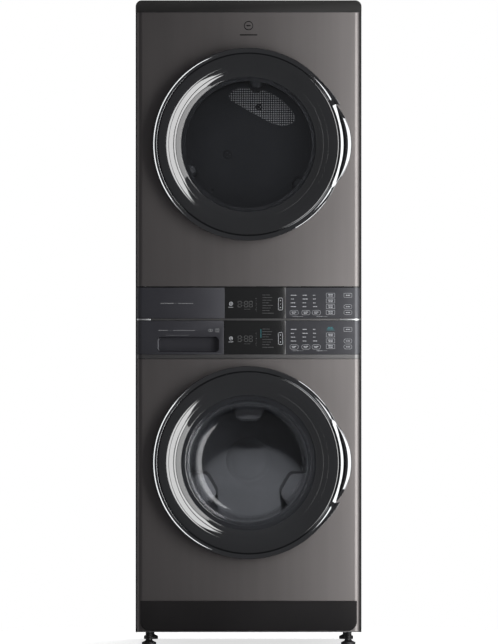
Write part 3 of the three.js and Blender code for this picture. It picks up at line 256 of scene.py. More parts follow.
# Clear smoked glass: what is behind shows through it, and it mirrors lights near its edge more.
def smokedGlass(name, tint, mostMirror):
    material, tree, shader = newMaterial(name)
    tree.nodes.remove(shader)
    out = tree.nodes["Material Output"]
    clear = addNode(tree, "BsdfTransparent", Color=(*tint, 1))
    gloss = addNode(tree, "BsdfGlossy", Roughness=0.02, Color=(1, 1, 1, 1))
    edge = addNode(tree, "Fresnel", IOR=1.45)
    mix = addNode(tree, "MixShader")
    tree.links.new(calc(tree, "MINIMUM", edge.outputs[0], mostMirror), mix.inputs[0])
    tree.links.new(clear.outputs[0], mix.inputs[1])
    tree.links.new(gloss.outputs[0], mix.inputs[2])
    tree.links.new(mix.outputs[0], out.inputs["Surface"])
    return material


# Sheet with a fine square grid of raised pads, in the plane of the back wall.
def padGrid(name, pitch, share, dark, light):
    material, tree, shader = newMaterial(name)
    split = addNode(tree, "SeparateXYZ")
    tree.links.new(objectPattern(tree, (1 / pitch,) * 3), split.inputs[0])
    bands = [calc(tree, "LESS_THAN", calc(tree, "FRACT", split.outputs[axis]), share) for axis in ("X", "Z")]
    pads = calc(tree, "MULTIPLY", *bands)
    mixColour(tree, shader, pads, dark, light)
    tree.links.new(spread(tree, noise(tree, (400, 400, 400)), 0.4, 0.55), shader.inputs["Roughness"])
    addBump(tree, shader, pads, 0.4, 0.0008)
    return material


grilleSheet = padGrid("grilleSheet", 6.9 * mm, 0.6, (0.014, 0.0145, 0.015), (0.50, 0.505, 0.51))
lintMesh = padGrid("lintMesh", 2.2 * mm, 0.62, (0.20, 0.205, 0.21), (0.045, 0.046, 0.048))
doorGlassFinish = smokedGlass("doorGlass", (0.78, 0.785, 0.80), 0.32)

print("finishes ready")


# ---------- mesh helpers ----------
# A test for softEdges that an edge passes when both its ends do.
def every(test):
    return lambda edge: all(test(v.co) for v in edge.verts)


def softEdges(bm, width, segments=2, angle=40, only=None):
    limit = math.radians(angle)
    edges = [e for e in bm.edges if len(e.link_faces) == 2 and e.calc_face_angle(0) > limit]
    if only:
        edges = [e for e in edges if only(e)]
    bmesh.ops.bevel(bm, geom=edges, offset=width, offset_type="OFFSET", segments=segments, profile=0.5,
                    affect="EDGES", material=-1, clamp_overlap=True)


def shade(bm, sharp):
    limit = math.radians(sharp)
    for face in bm.faces:
        face.smooth = True
    for edge in bm.edges:
        edge.smooth = len(edge.link_faces) == 2 and edge.calc_face_angle(0) < limit


def toObject(bm, name, material, sharp=33):
    shade(bm, sharp)
    mesh = bpy.data.meshes.new(name)
    bm.to_mesh(mesh)
    bm.free()
    mesh.materials.append(material)
    made = bpy.data.objects.new(name, mesh)
    bpy.context.scene.collection.objects.link(made)
    return made


def piece(bm, name, material, body, slot, *replaced, sharp=33):
    made = toObject(bm, name, material, sharp)
    return settle(made, body, slot, *replaced)


def settle(made, body, slot, *replaced):
    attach(made, body)
    if replaced:
        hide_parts(*replaced)
    return made


def shift(bm, x=0.0, y=0.0, z=0.0):
    bmesh.ops.translate(bm, verts=bm.verts, vec=(x, y, z))


# A solid of revolution about Y at (x, z), or about Z, from a closed profile of (radius, y) points.
def turned(profile, x=0.0, z=0.0, steps=160, axis="Y"):
    bm = bmesh.new()
    points = [bm.verts.new((r, y, 0)) for r, y in profile]
    edges = [bm.edges.new(pair) for pair in zip(points, points[1:])]
    if profile[0][0] > 1e-7 or profile[-1][0] > 1e-7:
        edges.append(bm.edges.new((points[-1], points[0])))
    bmesh.ops.spin(bm, geom=points + edges, cent=(0, 0, 0), axis=(0, 1, 0), angle=2 * math.pi,
                   steps=steps, use_merge=True)
    bmesh.ops.remove_doubles(bm, verts=bm.verts, dist=1e-6)
    bmesh.ops.dissolve_degenerate(bm, edges=bm.edges, dist=1e-7)
    if axis == "Z":
        bmesh.ops.rotate(bm, verts=bm.verts, cent=(0, 0, 0), matrix=Matrix.Rotation(math.pi / 2, 3, "X"))
    bmesh.ops.recalc_face_normals(bm, faces=bm.faces)
    shift(bm, x, 0, z)
    return bm


# A flat outline of points pushed along a direction.
def prism(corners, reach):
    bm = bmesh.new()
    face = bm.faces.new([bm.verts.new(corner) for corner in corners])
    grown = bmesh.ops.extrude_face_region(bm, geom=[face])
    moved = [v for v in grown["geom"] if isinstance(v, bmesh.types.BMVert)]
    bmesh.ops.translate(bm, verts=moved, vec=reach)
    bmesh.ops.recalc_face_normals(bm, faces=bm.faces)
    return bm


def slab(outline, y):
    return prism([(px, y[0], pz) for px, pz in outline], (0, y[1] - y[0], 0))


def column(outline, z):
    return prism([(px, py, z[0]) for px, py in outline], (0, 0, z[1] - z[0]))


def block(x, y, z, bevel=0.0, segments=2):
    bm = bmesh.new()
    centre = Vector(((x[0] + x[1]) / 2, (y[0] + y[1]) / 2, (z[0] + z[1]) / 2))
    size = Matrix.Diagonal((x[1] - x[0], y[1] - y[0], z[1] - z[0], 1))
    bmesh.ops.create_cube(bm, size=1, matrix=Matrix.Translation(centre) @ size)
    if bevel:
        softEdges(bm, bevel, segments)
    return bm


def arc(centre, radius, start, end, steps):
    return [(centre[0] + radius * math.cos(math.radians(start + (end - start) * i / steps)),
             centre[1] + radius * math.sin(math.radians(start + (end - start) * i / steps)))
            for i in range(steps + 1)]


def roundRect(x, z, radius, steps=6):
    corners = (((x[1] - radius, z[1] - radius), 0), ((x[0] + radius, z[1] - radius), 90),
               ((x[0] + radius, z[0] + radius), 180), ((x[1] - radius, z[0] + radius), 270))
    return [p for centre, start in corners for p in arc(centre, radius, start, start + 90, steps)]


# Cuts shapes out of a finished object and keeps the result as its mesh.
def carve(made, *cutters, operation="DIFFERENCE"):
    helpers = []
    for cutter in cutters:
        helper = toObject(cutter, made.name + "Cutter", made.data.materials[0])
        helpers.append(helper)
        step = made.modifiers.new("carve", "BOOLEAN")
        step.operation = operation
        step.solver = "EXACT"
        step.object = helper
    bpy.context.view_layer.update()
    graph = bpy.context.evaluated_depsgraph_get()
    mesh = bpy.data.meshes.new_from_object(made.evaluated_get(graph))
    made.modifiers.clear()
    made.data = mesh
    for helper in helpers:
        bpy.data.objects.remove(helper)
    sharpen(mesh)
    return made


def sharpen(mesh, sharp=33):
    bm = bmesh.new()
    bm.from_mesh(mesh)
    bmesh.ops.remove_doubles(bm, verts=bm.verts, dist=2e-6)
    shade(bm, sharp)
    bm.to_mesh(mesh)
    bm.free()


def smoothPath(points, perSpan=4):
    made = []
    last = len(points) - 1
    for i in range(last):
        a, b = points[max(i - 1, 0)], points[i]
        c, d = points[i + 1], points[min(i + 2, last)]
        for k in range(perSpan):
            t = k / perSpan
            made.append(tuple(0.5 * (2 * b[j] + (c[j] - a[j]) * t + (2 * a[j] - 5 * b[j] + 4 * c[j] - d[j]) * t * t
                                     + (3 * b[j] - a[j] - 3 * c[j] + d[j]) * t ** 3) for j in range(2)))
    made.append(tuple(points[last]))
    return made


def paint(material, *names):
    for name in names:
        mesh = nodes[name].data
        mesh.materials.clear()
        mesh.materials.append(material)


# ---------- places shared by several pieces ----------
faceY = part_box("dryer_front_panel")[0].y
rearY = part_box("rear_panel")[1].y
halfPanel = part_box("dryer_front_panel")[1].x
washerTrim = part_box("washer_door_trim")
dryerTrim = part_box("dryer_door_trim")
washerZ = (washerTrim[0].z + washerTrim[1].z) / 2
dryerZ = (dryerTrim[0].z + dryerTrim[1].z) / 2
doorRadius = dryerTrim[1].z - dryerZ


# Plan outline of a sheet that is flat in front and bends back at the ends that reach halfPanel.
def wrapOutline(x, front, thickness, back):
    bend, steps = 18 * mm, 10
    centreX, centreY = halfPanel - bend, front + bend
    outer, inner = [], []
    if x[0] <= -halfPanel:
        outer += [(-halfPanel, back)] + arc((-centreX, centreY), bend, 180, 270, steps)
        inner += [(-halfPanel + thickness, back)] + arc((-centreX, centreY), bend - thickness, 180, 270, steps)
    else:
        outer.append((x[0], front))
        inner.append((x[0], front + thickness))
    if x[1] >= halfPanel:
        outer += arc((centreX, centreY), bend, 270, 360, steps) + [(halfPanel, back)]
        inner += arc((centreX, centreY), bend - thickness, 270, 360, steps) + [(halfPanel - thickness, back)]
    else:
        outer.append((x[1], front))
        inner.append((x[1], front + thickness))
    return outer + inner[::-1]


# Points in millimetres from (radius, y), as a path in metres.
def path(points, radius=0.0, y=0.0):
    return [(radius + r * mm, y + h * mm) for r, h in points]


# ---------- cabinet ----------
cabinetSet = {
    "openingRadius": 219.5 * mm,
    "flangeDepth": 6,
    "panelReturn": 30 * mm,
    "through": 10 * mm,
    "hingeSlotX": (-291.5 * mm, -276.5 * mm),
    "hingeSpacing": 45 * mm,
    "hingeSlotHalf": 8.5 * mm,
    "latchX": (236 * mm, 254 * mm),
    "latchHalf": 17 * mm,
    "strikeX": (231 * mm, 259 * mm),
    "strikeHalf": 28 * mm,
    "keeperX": (237.5 * mm, 252.5 * mm),
    "keeperHalf": 15.5 * mm,
    "coverShoulder": 19 * mm,
    "coverNose": 9 * mm,
    "toeCorner": 28 * mm,
    "toeBow": 2.5 * mm,
}


def frontPanel(name, node, doorZ):
    low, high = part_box(node)
    part = cabinetSet
    through = (faceY - part["through"], faceY + part["through"])
    outline = wrapOutline((-halfPanel, halfPanel), faceY, 1 * mm, faceY + part["panelReturn"])
    made = toObject(column(outline, (low.z, high.z)), name, titaniumSteel)
    radius = part["openingRadius"]
    opening = turned([(0, through[0]), (radius, through[0]), (radius, through[1]), (0, through[1])], 0, doorZ)
    slots = [block(part["hingeSlotX"], through, (middle - part["hingeSlotHalf"], middle + part["hingeSlotHalf"]))
             for middle in (doorZ - part["hingeSpacing"], doorZ + part["hingeSpacing"])]
    latch = block(part["latchX"], through, (doorZ - part["latchHalf"], doorZ + part["latchHalf"]))
    carve(made, opening, latch, *slots)
    settle(made, "cabinet", "titanium_steel", node)
    depth = part["flangeDepth"]
    lip = path([(0.4, 0.2), (-0.2, 0.5), (-1, 2), (-1, depth), (0.2, depth), (0.4, 2)], radius, faceY)
    piece(turned(lip, 0, doorZ), name + "Lip", titaniumSteel, "cabinet", "titanium_steel")
    strike = block(part["strikeX"], (faceY + 1.2 * mm, faceY + 3 * mm),
                   (doorZ - part["strikeHalf"], doorZ + part["strikeHalf"]), 0.5 * mm)
    rim = toObject(strike, name + "Strike", zincSheet)
    carve(rim, block(part["keeperX"], through, (doorZ - part["keeperHalf"], doorZ + part["keeperHalf"])))
    settle(rim, "cabinet", "zinc_sheet")


frontPanel("dryerPanel", "dryer_front_panel", dryerZ)
frontPanel("washerPanel", "washer_front_panel", washerZ)

# plain badge near the top: a ring round a bar, and a bar beneath
badgeSet = {"z": 1884 * mm, "ring": 14 * mm, "line": 2.4 * mm, "rise": 0.9 * mm, "barZ": 1856 * mm, "barHalf": 27 * mm}
ring = badgeSet["ring"]
badgeY = (faceY - badgeSet["rise"], faceY + 0.3 * mm)
bm = turned([(ring - badgeSet["line"], badgeY[1]), (ring - badgeSet["line"], badgeY[0] + 0.3 * mm),
             (ring - badgeSet["line"] / 2, badgeY[0]), (ring, badgeY[0] + 0.3 * mm), (ring, badgeY[1])],
            0, badgeSet["z"], 64)
piece(bm, "badgeRing", badgeMetal, "cabinet", "titanium_steel")
for name, x, z in (("badgeMark", 6.5 * mm, badgeSet["z"]), ("badgeBar", badgeSet["barHalf"], badgeSet["barZ"])):
    bm = slab(roundRect((-x, x), (z - 2 * mm, z + 2 * mm), 1.9 * mm), badgeY)
    softEdges(bm, 0.3 * mm, 2, 60, every(lambda at: at.y < faceY))
    piece(bm, name, badgeMetal, "cabinet", "titanium_steel")

# top cover: one rolled nose along the front, round shoulders, and a shallow seam round its skirt
low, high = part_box("top_cover")
cover = column([(low.x, low.y), (high.x, low.y), (high.x, high.y), (low.x, high.y)], (low.z, high.z))
softEdges(cover, cabinetSet["coverShoulder"], 8, 40, lambda e: abs(e.verts[0].co.x - e.verts[1].co.x) < 1e-6
          and abs(e.verts[0].co.z - e.verts[1].co.z) < 1e-6 and e.verts[0].co.z > high.z - 1e-6)
softEdges(cover, cabinetSet["coverNose"], 6, 50, every(lambda at: at.y < low.y + 1e-6 and at.z > low.z + 1 * mm))
softEdges(cover, 1.2 * mm, 2, 50)
piece(cover, "coverTop", coverPlastic, "cabinet", "black_plastic", "top_cover")
seam = block((low.x + 4 * mm, high.x - 4 * mm), (low.y + 3 * mm, high.y - 1 * mm), (low.z - 1.5 * mm, low.z), 0.3 * mm)
piece(seam, "coverSeam", blackPlastic, "cabinet", "black_plastic")

# toe panel, bowed a little, with round lower corners
low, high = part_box("toe_panel")
corner = cabinetSet["toeCorner"]
outline = ([(low.x, high.z)] + arc((low.x + corner, low.z + corner), corner, 180, 270, 10)
           + arc((high.x - corner, low.z + corner), corner, 270, 360, 10) + [(high.x, high.z)])
toe = slab(outline, (low.y, high.y))
softEdges(toe, 2.2 * mm, 4, 60, every(lambda at: at.y < low.y + 1e-6))
for step in range(1, 12):
    cutX = low.x + (high.x - low.x) * step / 12
    bmesh.ops.bisect_plane(toe, geom=toe.verts[:] + toe.edges[:] + toe.faces[:], plane_co=(cutX, 0, 0),
                           plane_no=(1, 0, 0), dist=1e-7)
for v in toe.verts:
    if v.co.y < high.y - 1 * mm:
        v.co.y += cabinetSet["toeBow"] * (v.co.x / high.x) ** 2
piece(toe, "toeCover", toePlastic, "cabinet", "black_plastic", "toe_panel")

paint(sidePaint, "left_side_panel", "right_side_panel")
paint(zincSheet, "rear_panel", "base_frame", "dryer_deck", "heater_box", "exhaust_duct")
paint(greyPlastic, "dispenser_housing", "washer_tub")
paint(trayPlastic, "drawer_tray")
paint(blackPlastic, "drain_pump", "inlet_valve", "damper_left", "damper_right", "blower_housing")
paint(circuitGreen, "control_board")
paint(castIron, "tub_counterweight", "washer_hinge_bracket", "dryer_hinge_bracket")
paint(castAluminium, "washer_motor", "washer_motor_pulley", "drum_pulley", "dryer_motor", "dryer_motor_shaft")
paint(zincSheet, "tub_spring_left", "tub_spring_right")
paint(beltRubber, "washer_belt", "dryer_belt")

# levelling feet: rubber pad, collar and rolled thread
for name in ("foot_front_left", "foot_front_right", "foot_rear_left", "foot_rear_right"):
    low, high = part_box(name)
    profile = [(0, 0), (20, 0), (21.5, 0.8), (22, 2.5), (22, 8), (21.2, 10), (18, 11.5), (12.5, 14), (10.5, 16.5),
               (10.5, 24), (11.2, 24.8), (12, 25.2), (12, 29.6), (11.2, 30), (10.5, 30.6), (10.5, 41), (9, 42)]
    for turn in range(18):
        base = 44 + turn * 2.5
        profile += [(4.6, base), (5.55, base + 0.9), (5.55, base + 1.4)]
    profile += [(4.6, 89.4), (0, 90)]
    bm = turned(path(profile), 0, 0, 32, "Z")
    shift(bm, (low.x + high.x) / 2, (low.y + high.y) / 2)
    piece(bm, name + "Pad", blackPlastic, name, "black_plastic", name)

# back: screws round its edge, two stamped frames and a service cover
backSet = {"screw": 5.5 * mm, "edge": 11 * mm, "rise": 2.2 * mm, "band": 16 * mm}
low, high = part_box("rear_panel")
backY = rearY


def screwHead(bm, x, z, y):
    radius = backSet["screw"]
    rings = ((radius, 0), (radius, 0.5), (radius * 0.72, 0.9), (radius * 0.66, 2.6), (radius * 0.5, 3), (0, 3))
    points = [bm.verts.new((x + r, y + h * mm, z)) for r, h in rings]
    edges = [bm.edges.new(pair) for pair in zip(points, points[1:])]
    bmesh.ops.spin(bm, geom=points + edges, cent=(x, y, z), axis=(0, 1, 0), angle=2 * math.pi, steps=12,
                   use_merge=True)


# A raised band stamped in the rear sheet.
def stampedFrame(name, z, width, height, corner):
    bm = slab(roundRect((-width / 2, width / 2), (z - height / 2, z + height / 2), corner),
              (backY - 0.4 * mm, backY - 0.2 * mm))
    inner = [face for face in bm.faces if all(v.co.y > backY - 0.3 * mm for v in face.verts)]
    band, lift = backSet["band"], backSet["rise"] + 0.2 * mm
    for thickness, depth in ((band / 4, lift), (band / 2, 0), (band / 4, -lift)):
        bmesh.ops.inset_region(bm, faces=inner, thickness=thickness, depth=depth, use_even_offset=True)
    piece(bm, name, zincSheet, "cabinet", "zinc_sheet")


screws = bmesh.new()
edgeX = high.x - backSet["edge"]
for i in range(9):
    z = low.z + 25 * mm + (high.z - low.z - 50 * mm) * i / 8
    for x in (-edgeX, edgeX):
        screwHead(screws, x, z, backY)
for x in (-0.5, 0, 0.5):
    for z in (low.z + 12 * mm, high.z - 12 * mm):
        screwHead(screws, x * edgeX, z, backY)
coverZ = washerZ + 60 * mm
cover = (190 * mm, 150 * mm)
for side in (-1, 1):
    for level in (-1, 0, 1):
        screwHead(screws, side * (cover[0] - 12 * mm), coverZ + level * (cover[1] - 14 * mm), backY + 2 * mm)
bmesh.ops.remove_doubles(screws, verts=screws.verts, dist=1e-6)
bmesh.ops.holes_fill(screws, edges=[e for e in screws.edges if len(e.link_faces) == 1])
bmesh.ops.recalc_face_normals(screws, faces=screws.faces)
piece(screws, "backScrews", screwSteel, "cabinet", "zinc_sheet")
stampedFrame("backFrameLower", coverZ, 500 * mm, 420 * mm, 60 * mm)
stampedFrame("backFrameUpper", dryerZ + 60 * mm, 540 * mm, 560 * mm, 70 * mm)
outline = roundRect((-cover[0], cover[0]), (coverZ - cover[1], coverZ + cover[1]), 14 * mm)
plate = slab(outline, (backY, backY + 2 * mm))
softEdges(plate, 0.8 * mm, 2, 60, every(lambda at: at.y > backY + 1 * mm))
piece(plate, "serviceCover", zincSheet, "cabinet", "zinc_sheet")

print("cabinet shell done")

# ---------- console ----------
consoleSet = {
    "plateDepth": 3 * mm,
    "plateReturn": 20 * mm,
    "plateEdge": 0.35 * mm,
    "glassEdge": 0.12 * mm,
    "legendRise": 0.12 * mm,
    "bandSheet": 1.2 * mm,
    "bandReturn": 12 * mm,
    "bandEdge": 0.5 * mm,
    "dividerHalf": 2.8 * mm,
    "lipHalf": 6.2 * mm,
    # half height and reach of the painted highlight caps on the divider's ends, longer on the right
    "highlightCapHalf": 2.1 * mm,
    "highlightCapReach": {-1: 42 * mm, 1: 62 * mm},
}
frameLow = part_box("console_frame")[0]
stripZ = (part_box("drawer_front")[1].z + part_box("dryer_fascia_plate")[0].z) / 2


def consolePlate(name, node, material, slotName):
    low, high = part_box(node)
    outline = wrapOutline((low.x, high.x), low.y, consoleSet["plateDepth"], faceY + consoleSet["plateReturn"])
    bm = column(outline, (low.z, high.z))
    softEdges(bm, consoleSet["glassEdge" if material == displayGlass else "plateEdge"], 2, 60)
    piece(bm, name, material, "cabinet", slotName, node)


consolePlate("dryerPlate", "dryer_fascia_plate", consoleLacquer, "console_plastic")
consolePlate("dryerDisplay", "dryer_display_window", displayGlass, "black_glass")
consolePlate("dryerKeys", "dryer_keypad", keyLacquer, "console_plastic")
consolePlate("washerDisplay", "washer_display_window", displayGlass, "black_glass")
consolePlate("washerKeys", "washer_keypad", keyLacquer, "console_plastic")
paint(consoleTrim, "console_frame")


# Legends are thin raised ink: every mark is a plain bar, ring or dot.
def bar(bm, x, z, width, height, y):
    rise = consoleSet["legendRise"]
    centre = Matrix.Translation((x * mm, y - rise / 2, z * mm))
    bmesh.ops.create_cube(bm, size=1, matrix=centre @ Matrix.Diagonal((width * mm, rise, height * mm, 1)))


def ringMark(bm, x, z, width, height, radius, line, y):
    rise = consoleSet["legendRise"]
    loops = []
    for shrink in (0, line):
        outline = roundRect(((x - width / 2 + shrink) * mm, (x + width / 2 - shrink) * mm),
                            ((z - height / 2 + shrink) * mm, (z + height / 2 - shrink) * mm),
                            max(radius - shrink, 0.2) * mm, 4)
        points = [bm.verts.new((px, y - rise, pz)) for px, pz in outline]
        loops += [bm.edges.new(pair) for pair in zip(points, points[1:] + points[:1])]
    bridged = bmesh.ops.bridge_loops(bm, edges=loops)
    pushed = bmesh.ops.extrude_face_region(bm, geom=bridged["faces"])
    moved = [v for v in pushed["geom"] if isinstance(v, bmesh.types.BMVert)]
    bmesh.ops.translate(bm, verts=moved, vec=(0, rise, 0))


def dot(bm, x, z, radius, y, sides=16):
    rise = consoleSet["legendRise"]
    turn = Matrix.Translation((x * mm, y - rise / 2, z * mm)) @ Matrix.Rotation(math.pi / 2, 4, "X")
    bmesh.ops.create_cone(bm, cap_ends=True, segments=sides, radius1=radius * mm, radius2=radius * mm,
                          depth=rise, matrix=turn)


# A line of small words, drawn as plain dashes of uneven length.
def dashes(bm, x, z, widths, height, y, space=1.3):
    at = x
    for width in widths:
        bar(bm, at + width / 2, z, width, height, y)
        at += width + space


def sevenSegment(bm, x, z, width, height, line, y):
    for level in (-1, 0, 1):
        bar(bm, x, z + level * (height - line) / 2, width - 2 * line, line, y)
    for side in (-1, 1):
        for level in (-1, 1):
            bar(bm, x + side * (width - line) / 2, z + level * height / 4, line, height / 2 - 1.5 * line, y)


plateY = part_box("dryer_display_window")[0].y


def displayLegends(name, iconZ, digitZ, listZ, capsuleZ, teal):
    bright, dim = bmesh.new(), bmesh.new()
    ringMark(bright, -53.4, iconZ, 12, 12, 6, 1.6, plateY)
    ringMark(bright, -53.4, iconZ, 5.5, 5.5, 2.7, 1.1, plateY)
    dashes(bright, -61, iconZ - 10.5, (4, 5.2, 3.5), 1.5, plateY, 0.9)
    ringMark(bright, 97, capsuleZ, 14, 38, 4.5, 1.3, plateY)
    for level in (-1, 0, 1):
        dot(bright, 97, capsuleZ + level * 10.5, 1.7 if level else 1.1, plateY)
    for digitX in (-27, -7.5, 6.5):
        sevenSegment(dim, digitX, digitZ, 11.5, 19, 1.8, plateY)
    for level in (-1, 1):
        dot(dim, -17.4, digitZ + level * 4, 1.0, plateY, 10)
    dashes(dim, -13, digitZ - 15.5, (6, 2.4, 6.5), 1.3, plateY)
    for i in range(8):
        dot(dim, 22.5 + 0.9 * (i % 2), digitZ + 17 - i * 5.4, 0.9 if i % 3 else 1.5, plateY, 8)
    for i, width in enumerate((24, 31, 28, 19, 33, 26, 22, 36)):
        dashes(dim, 42, listZ - i * 7.9, (width * 0.42, width * 0.5), 1.5, plateY)
    piece(bright, name + "Marks", legendPrint, "cabinet", "black_glass")
    piece(dim, name + "Faint", legendDim, "cabinet", "black_glass")
    if teal:
        lit = bmesh.new()
        bar(lit, 37.4, teal, 1.6, 26, plateY)
        piece(lit, name + "Lit", legendTeal, "cabinet", "black_glass")


displayLegends("dryerDisplay", 1039.4, 1038.2, 1066, 1038.7, None)
displayLegends("washerDisplay", 934, 933.1, 962.5, 933.8, 949)


def keyLegends(name, rows, pillZ, bracketZ, keysZ, sideZ, tealKey):
    marks = bmesh.new()
    columns = ((137.3, (17, 9, 13, 16)), (173.2, (12, 15, 10, 11)), (204.8, (6, 8, 7, 12)))
    for x, widths in columns:
        for z, width in zip(rows, widths):
            dashes(marks, x - 9, z, (width * 0.55, width * 0.38), 2.2, plateY, 1.0)
        ringMark(marks, x + 1, pillZ, 26, 14.5, 6, 0.8, plateY)
        dashes(marks, x - 6.5, pillZ + 1.6, (6, 7), 2.0, plateY, 1.0)
        dashes(marks, x - 5, pillZ - 2.2, (9,), 1.6, plateY)
    for x in (149, 222):
        bar(marks, x, bracketZ, 34, 0.5, plateY)
        dashes(marks, x - 13, bracketZ, (4, 3, 5), 1.4, plateY)
    for i, z in enumerate(keysZ):
        if i == 0 and tealKey:
            continue
        ringMark(marks, 248.8, z, 26.5, 13.5, 1.6, 0.8, plateY)
        dashes(marks, 241.5, z + 2.2, (8, 5.5), 2.0, plateY, 1.0)
        dashes(marks, 243, z - 2.2, (5, 6.5), 2.0, plateY, 1.0)
    for i, z in enumerate(sideZ):
        ringMark(marks, 301.7, z, 25, 13, 1.6 if i == 0 else 5.5, 0.8, plateY)
        dashes(marks, 295.5, z, (5, 6.5), 2.2, plateY, 1.0)
    piece(marks, name + "Marks", legendPrint, "cabinet", "console_plastic")
    if tealKey:
        lit = bmesh.new()
        dashes(lit, 241, tealKey + 3, (7, 6), 2.2, plateY, 1.0)
        dashes(lit, 238, tealKey - 1.2, (9, 10), 2.2, plateY, 1.0)
        bar(lit, 248.8, tealKey - 5, 26, 0.8, plateY)
        piece(lit, name + "Lit", legendTeal, "cabinet", "console_plastic")


keyLegends("dryerKeys", (1065.1, 1053.8, 1042, 1030.7), 1012.5, 1000.7,
           (1065.1, 1048, 1030.7, 1012.8), (1065.1, 1030.2, 1012.8), None)
keyLegends("washerKeys", (961.5, 949.6, 938.1, 926.2), 908.2, 896.5,
           (964, 944.5, 926.6, 909.5), (961.5, 926.2, 908.2), 964.2)

words = bmesh.new()
dashes(words, -267, 1040.5, (5, 4, 6, 3.5, 5, 4.5, 5), 2.2, plateY, 1.1)
dashes(words, -222, 1040.5, (1.5,), 2.2, plateY)
dashes(words, -214, 1040.5, (5, 3.5, 6, 4, 5, 3, 6, 4.5), 1.8, plateY, 1.2)
piece(words, "dryerPlateWords", legendSoft, "cabinet", "console_plastic")

# dark filler in the joint between each display and its keypad
for row in ("dryer", "washer"):
    low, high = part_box(row + "_display_window")
    reach = (high.x - 0.05 * mm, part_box(row + "_keypad")[0].x + 0.05 * mm)
    joint = block(reach, (low.y - 0.02 * mm, low.y + 2 * mm), (low.z, high.z))
    piece(joint, row + "Joint", blackPlastic, "cabinet", "black_glass")

# divider between the two rows and the lip below them, then bright near-white metal caps at both ends of the divider: a
# painted highlight standing in for the glint the divider's ends catch from the side lamps, longer on the right
def band(y, middle, half):
    outline = wrapOutline((-halfPanel, halfPanel), y, consoleSet["bandSheet"], faceY + consoleSet["bandReturn"])
    return column(outline, (middle - half, middle + half))


lipZ = (frameLow.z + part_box("drawer_front")[0].z) / 2
for name, middle, half in (("divider", stripZ, "dividerHalf"), ("lowerLip", lipZ, "lipHalf")):
    bm = band(frameLow.y - 0.15 * mm, middle, consoleSet[half])
    softEdges(bm, consoleSet["bandEdge"], 2, 60)
    piece(bm, name, stripMetal, "cabinet", "console_metal")
for side, name in ((-1, "Left"), (1, "Right")):
    highlightCap = band(frameLow.y - 0.4 * mm, stripZ, consoleSet["highlightCapHalf"])
    inner = side * (halfPanel - consoleSet["highlightCapReach"][side])
    bmesh.ops.bisect_plane(highlightCap, geom=highlightCap.verts[:] + highlightCap.edges[:] + highlightCap.faces[:], dist=1e-7, plane_co=(inner, 0, 0),
                           plane_no=(-side, 0, 0), clear_outer=True)
    bmesh.ops.holes_fill(highlightCap, edges=[e for e in highlightCap.edges if len(e.link_faces) == 1])
    bmesh.ops.recalc_face_normals(highlightCap, faces=highlightCap.faces)
    softEdges(highlightCap, consoleSet["bandEdge"], 2, 60)
    piece(highlightCap, "dividerCap" + name, paintedHighlightMetal, "cabinet", "console_metal")

print("console done")

# ---------- drawer ----------
drawerSet = {
    "pullX": (-278 * mm, -90 * mm),
    "pullZ": (893 * mm, 939 * mm),
    "pocketRadius": 12 * mm,
    "pocketDepth": 21 * mm,
    "wall": 2 * mm,
    "cupY": (1.4 * mm, 23.5 * mm),
    "wordsZ": 958.5,
}
low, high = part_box("drawer_front")
outline = wrapOutline((low.x, high.x), low.y, consoleSet["plateDepth"], faceY + consoleSet["plateReturn"])
drawerPlate = column(outline, (low.z, high.z))
softEdges(drawerPlate, consoleSet["plateEdge"], 2, 60)
drawerFront = toObject(drawerPlate, "drawerPlate", consoleLacquer)
pullX, pullZ, radius, wall = (drawerSet[key] for key in ("pullX", "pullZ", "pocketRadius", "wall"))
outline = roundRect((pullX[0] - wall, pullX[1] + wall), (pullZ[0] - wall, pullZ[1] + wall), radius + wall, 8)
cup = slab(outline, [low.y + y for y in drawerSet["cupY"]])
softEdges(cup, 5 * mm, 4, 60, every(lambda at: at.y > low.y + 20 * mm))
pocket = slab(roundRect(pullX, pullZ, radius, 8), (low.y - 5 * mm, low.y + drawerSet["pocketDepth"]))
softEdges(pocket, 6 * mm, 5, 60, every(lambda at: at.y > low.y + 15 * mm))
carve(drawerFront, cup, operation="UNION")
carve(drawerFront, pocket)
settle(drawerFront, "drawer", "console_plastic", "drawer_front")

wordsZ = drawerSet["wordsZ"]
drawerWords = bmesh.new()
dashes(drawerWords, -273, wordsZ, (5, 4, 6, 3.5, 5), 2.2, low.y, 1.1)
dashes(drawerWords, -237, wordsZ, (1.5,), 2.2, low.y)
dashes(drawerWords, -229, wordsZ, (5, 3.5, 6, 4, 5, 3, 6, 4.5, 5, 4, 6), 1.8, low.y, 1.3)
ringMark(drawerWords, -115.3, wordsZ, 13, 8.5, 4, 1.4, low.y)
dot(drawerWords, -115.3, wordsZ, 2.2, low.y)
ringMark(drawerWords, -95, wordsZ, 11, 11, 1.5, 1.0, low.y)
dashes(drawerWords, -98.5, wordsZ + 2, (7,), 1.4, low.y)
dashes(drawerWords, -98.5, wordsZ - 2, (7,), 1.4, low.y)
dashes(drawerWords, -250, wordsZ - 15, (4, 3, 5, 3.5, 4, 6, 3, 4, 5, 3, 4, 6), 0.8, low.y, 1.6)
piece(drawerWords, "drawerWords", legendSoft, "drawer", "console_plastic")

print("drawer done")

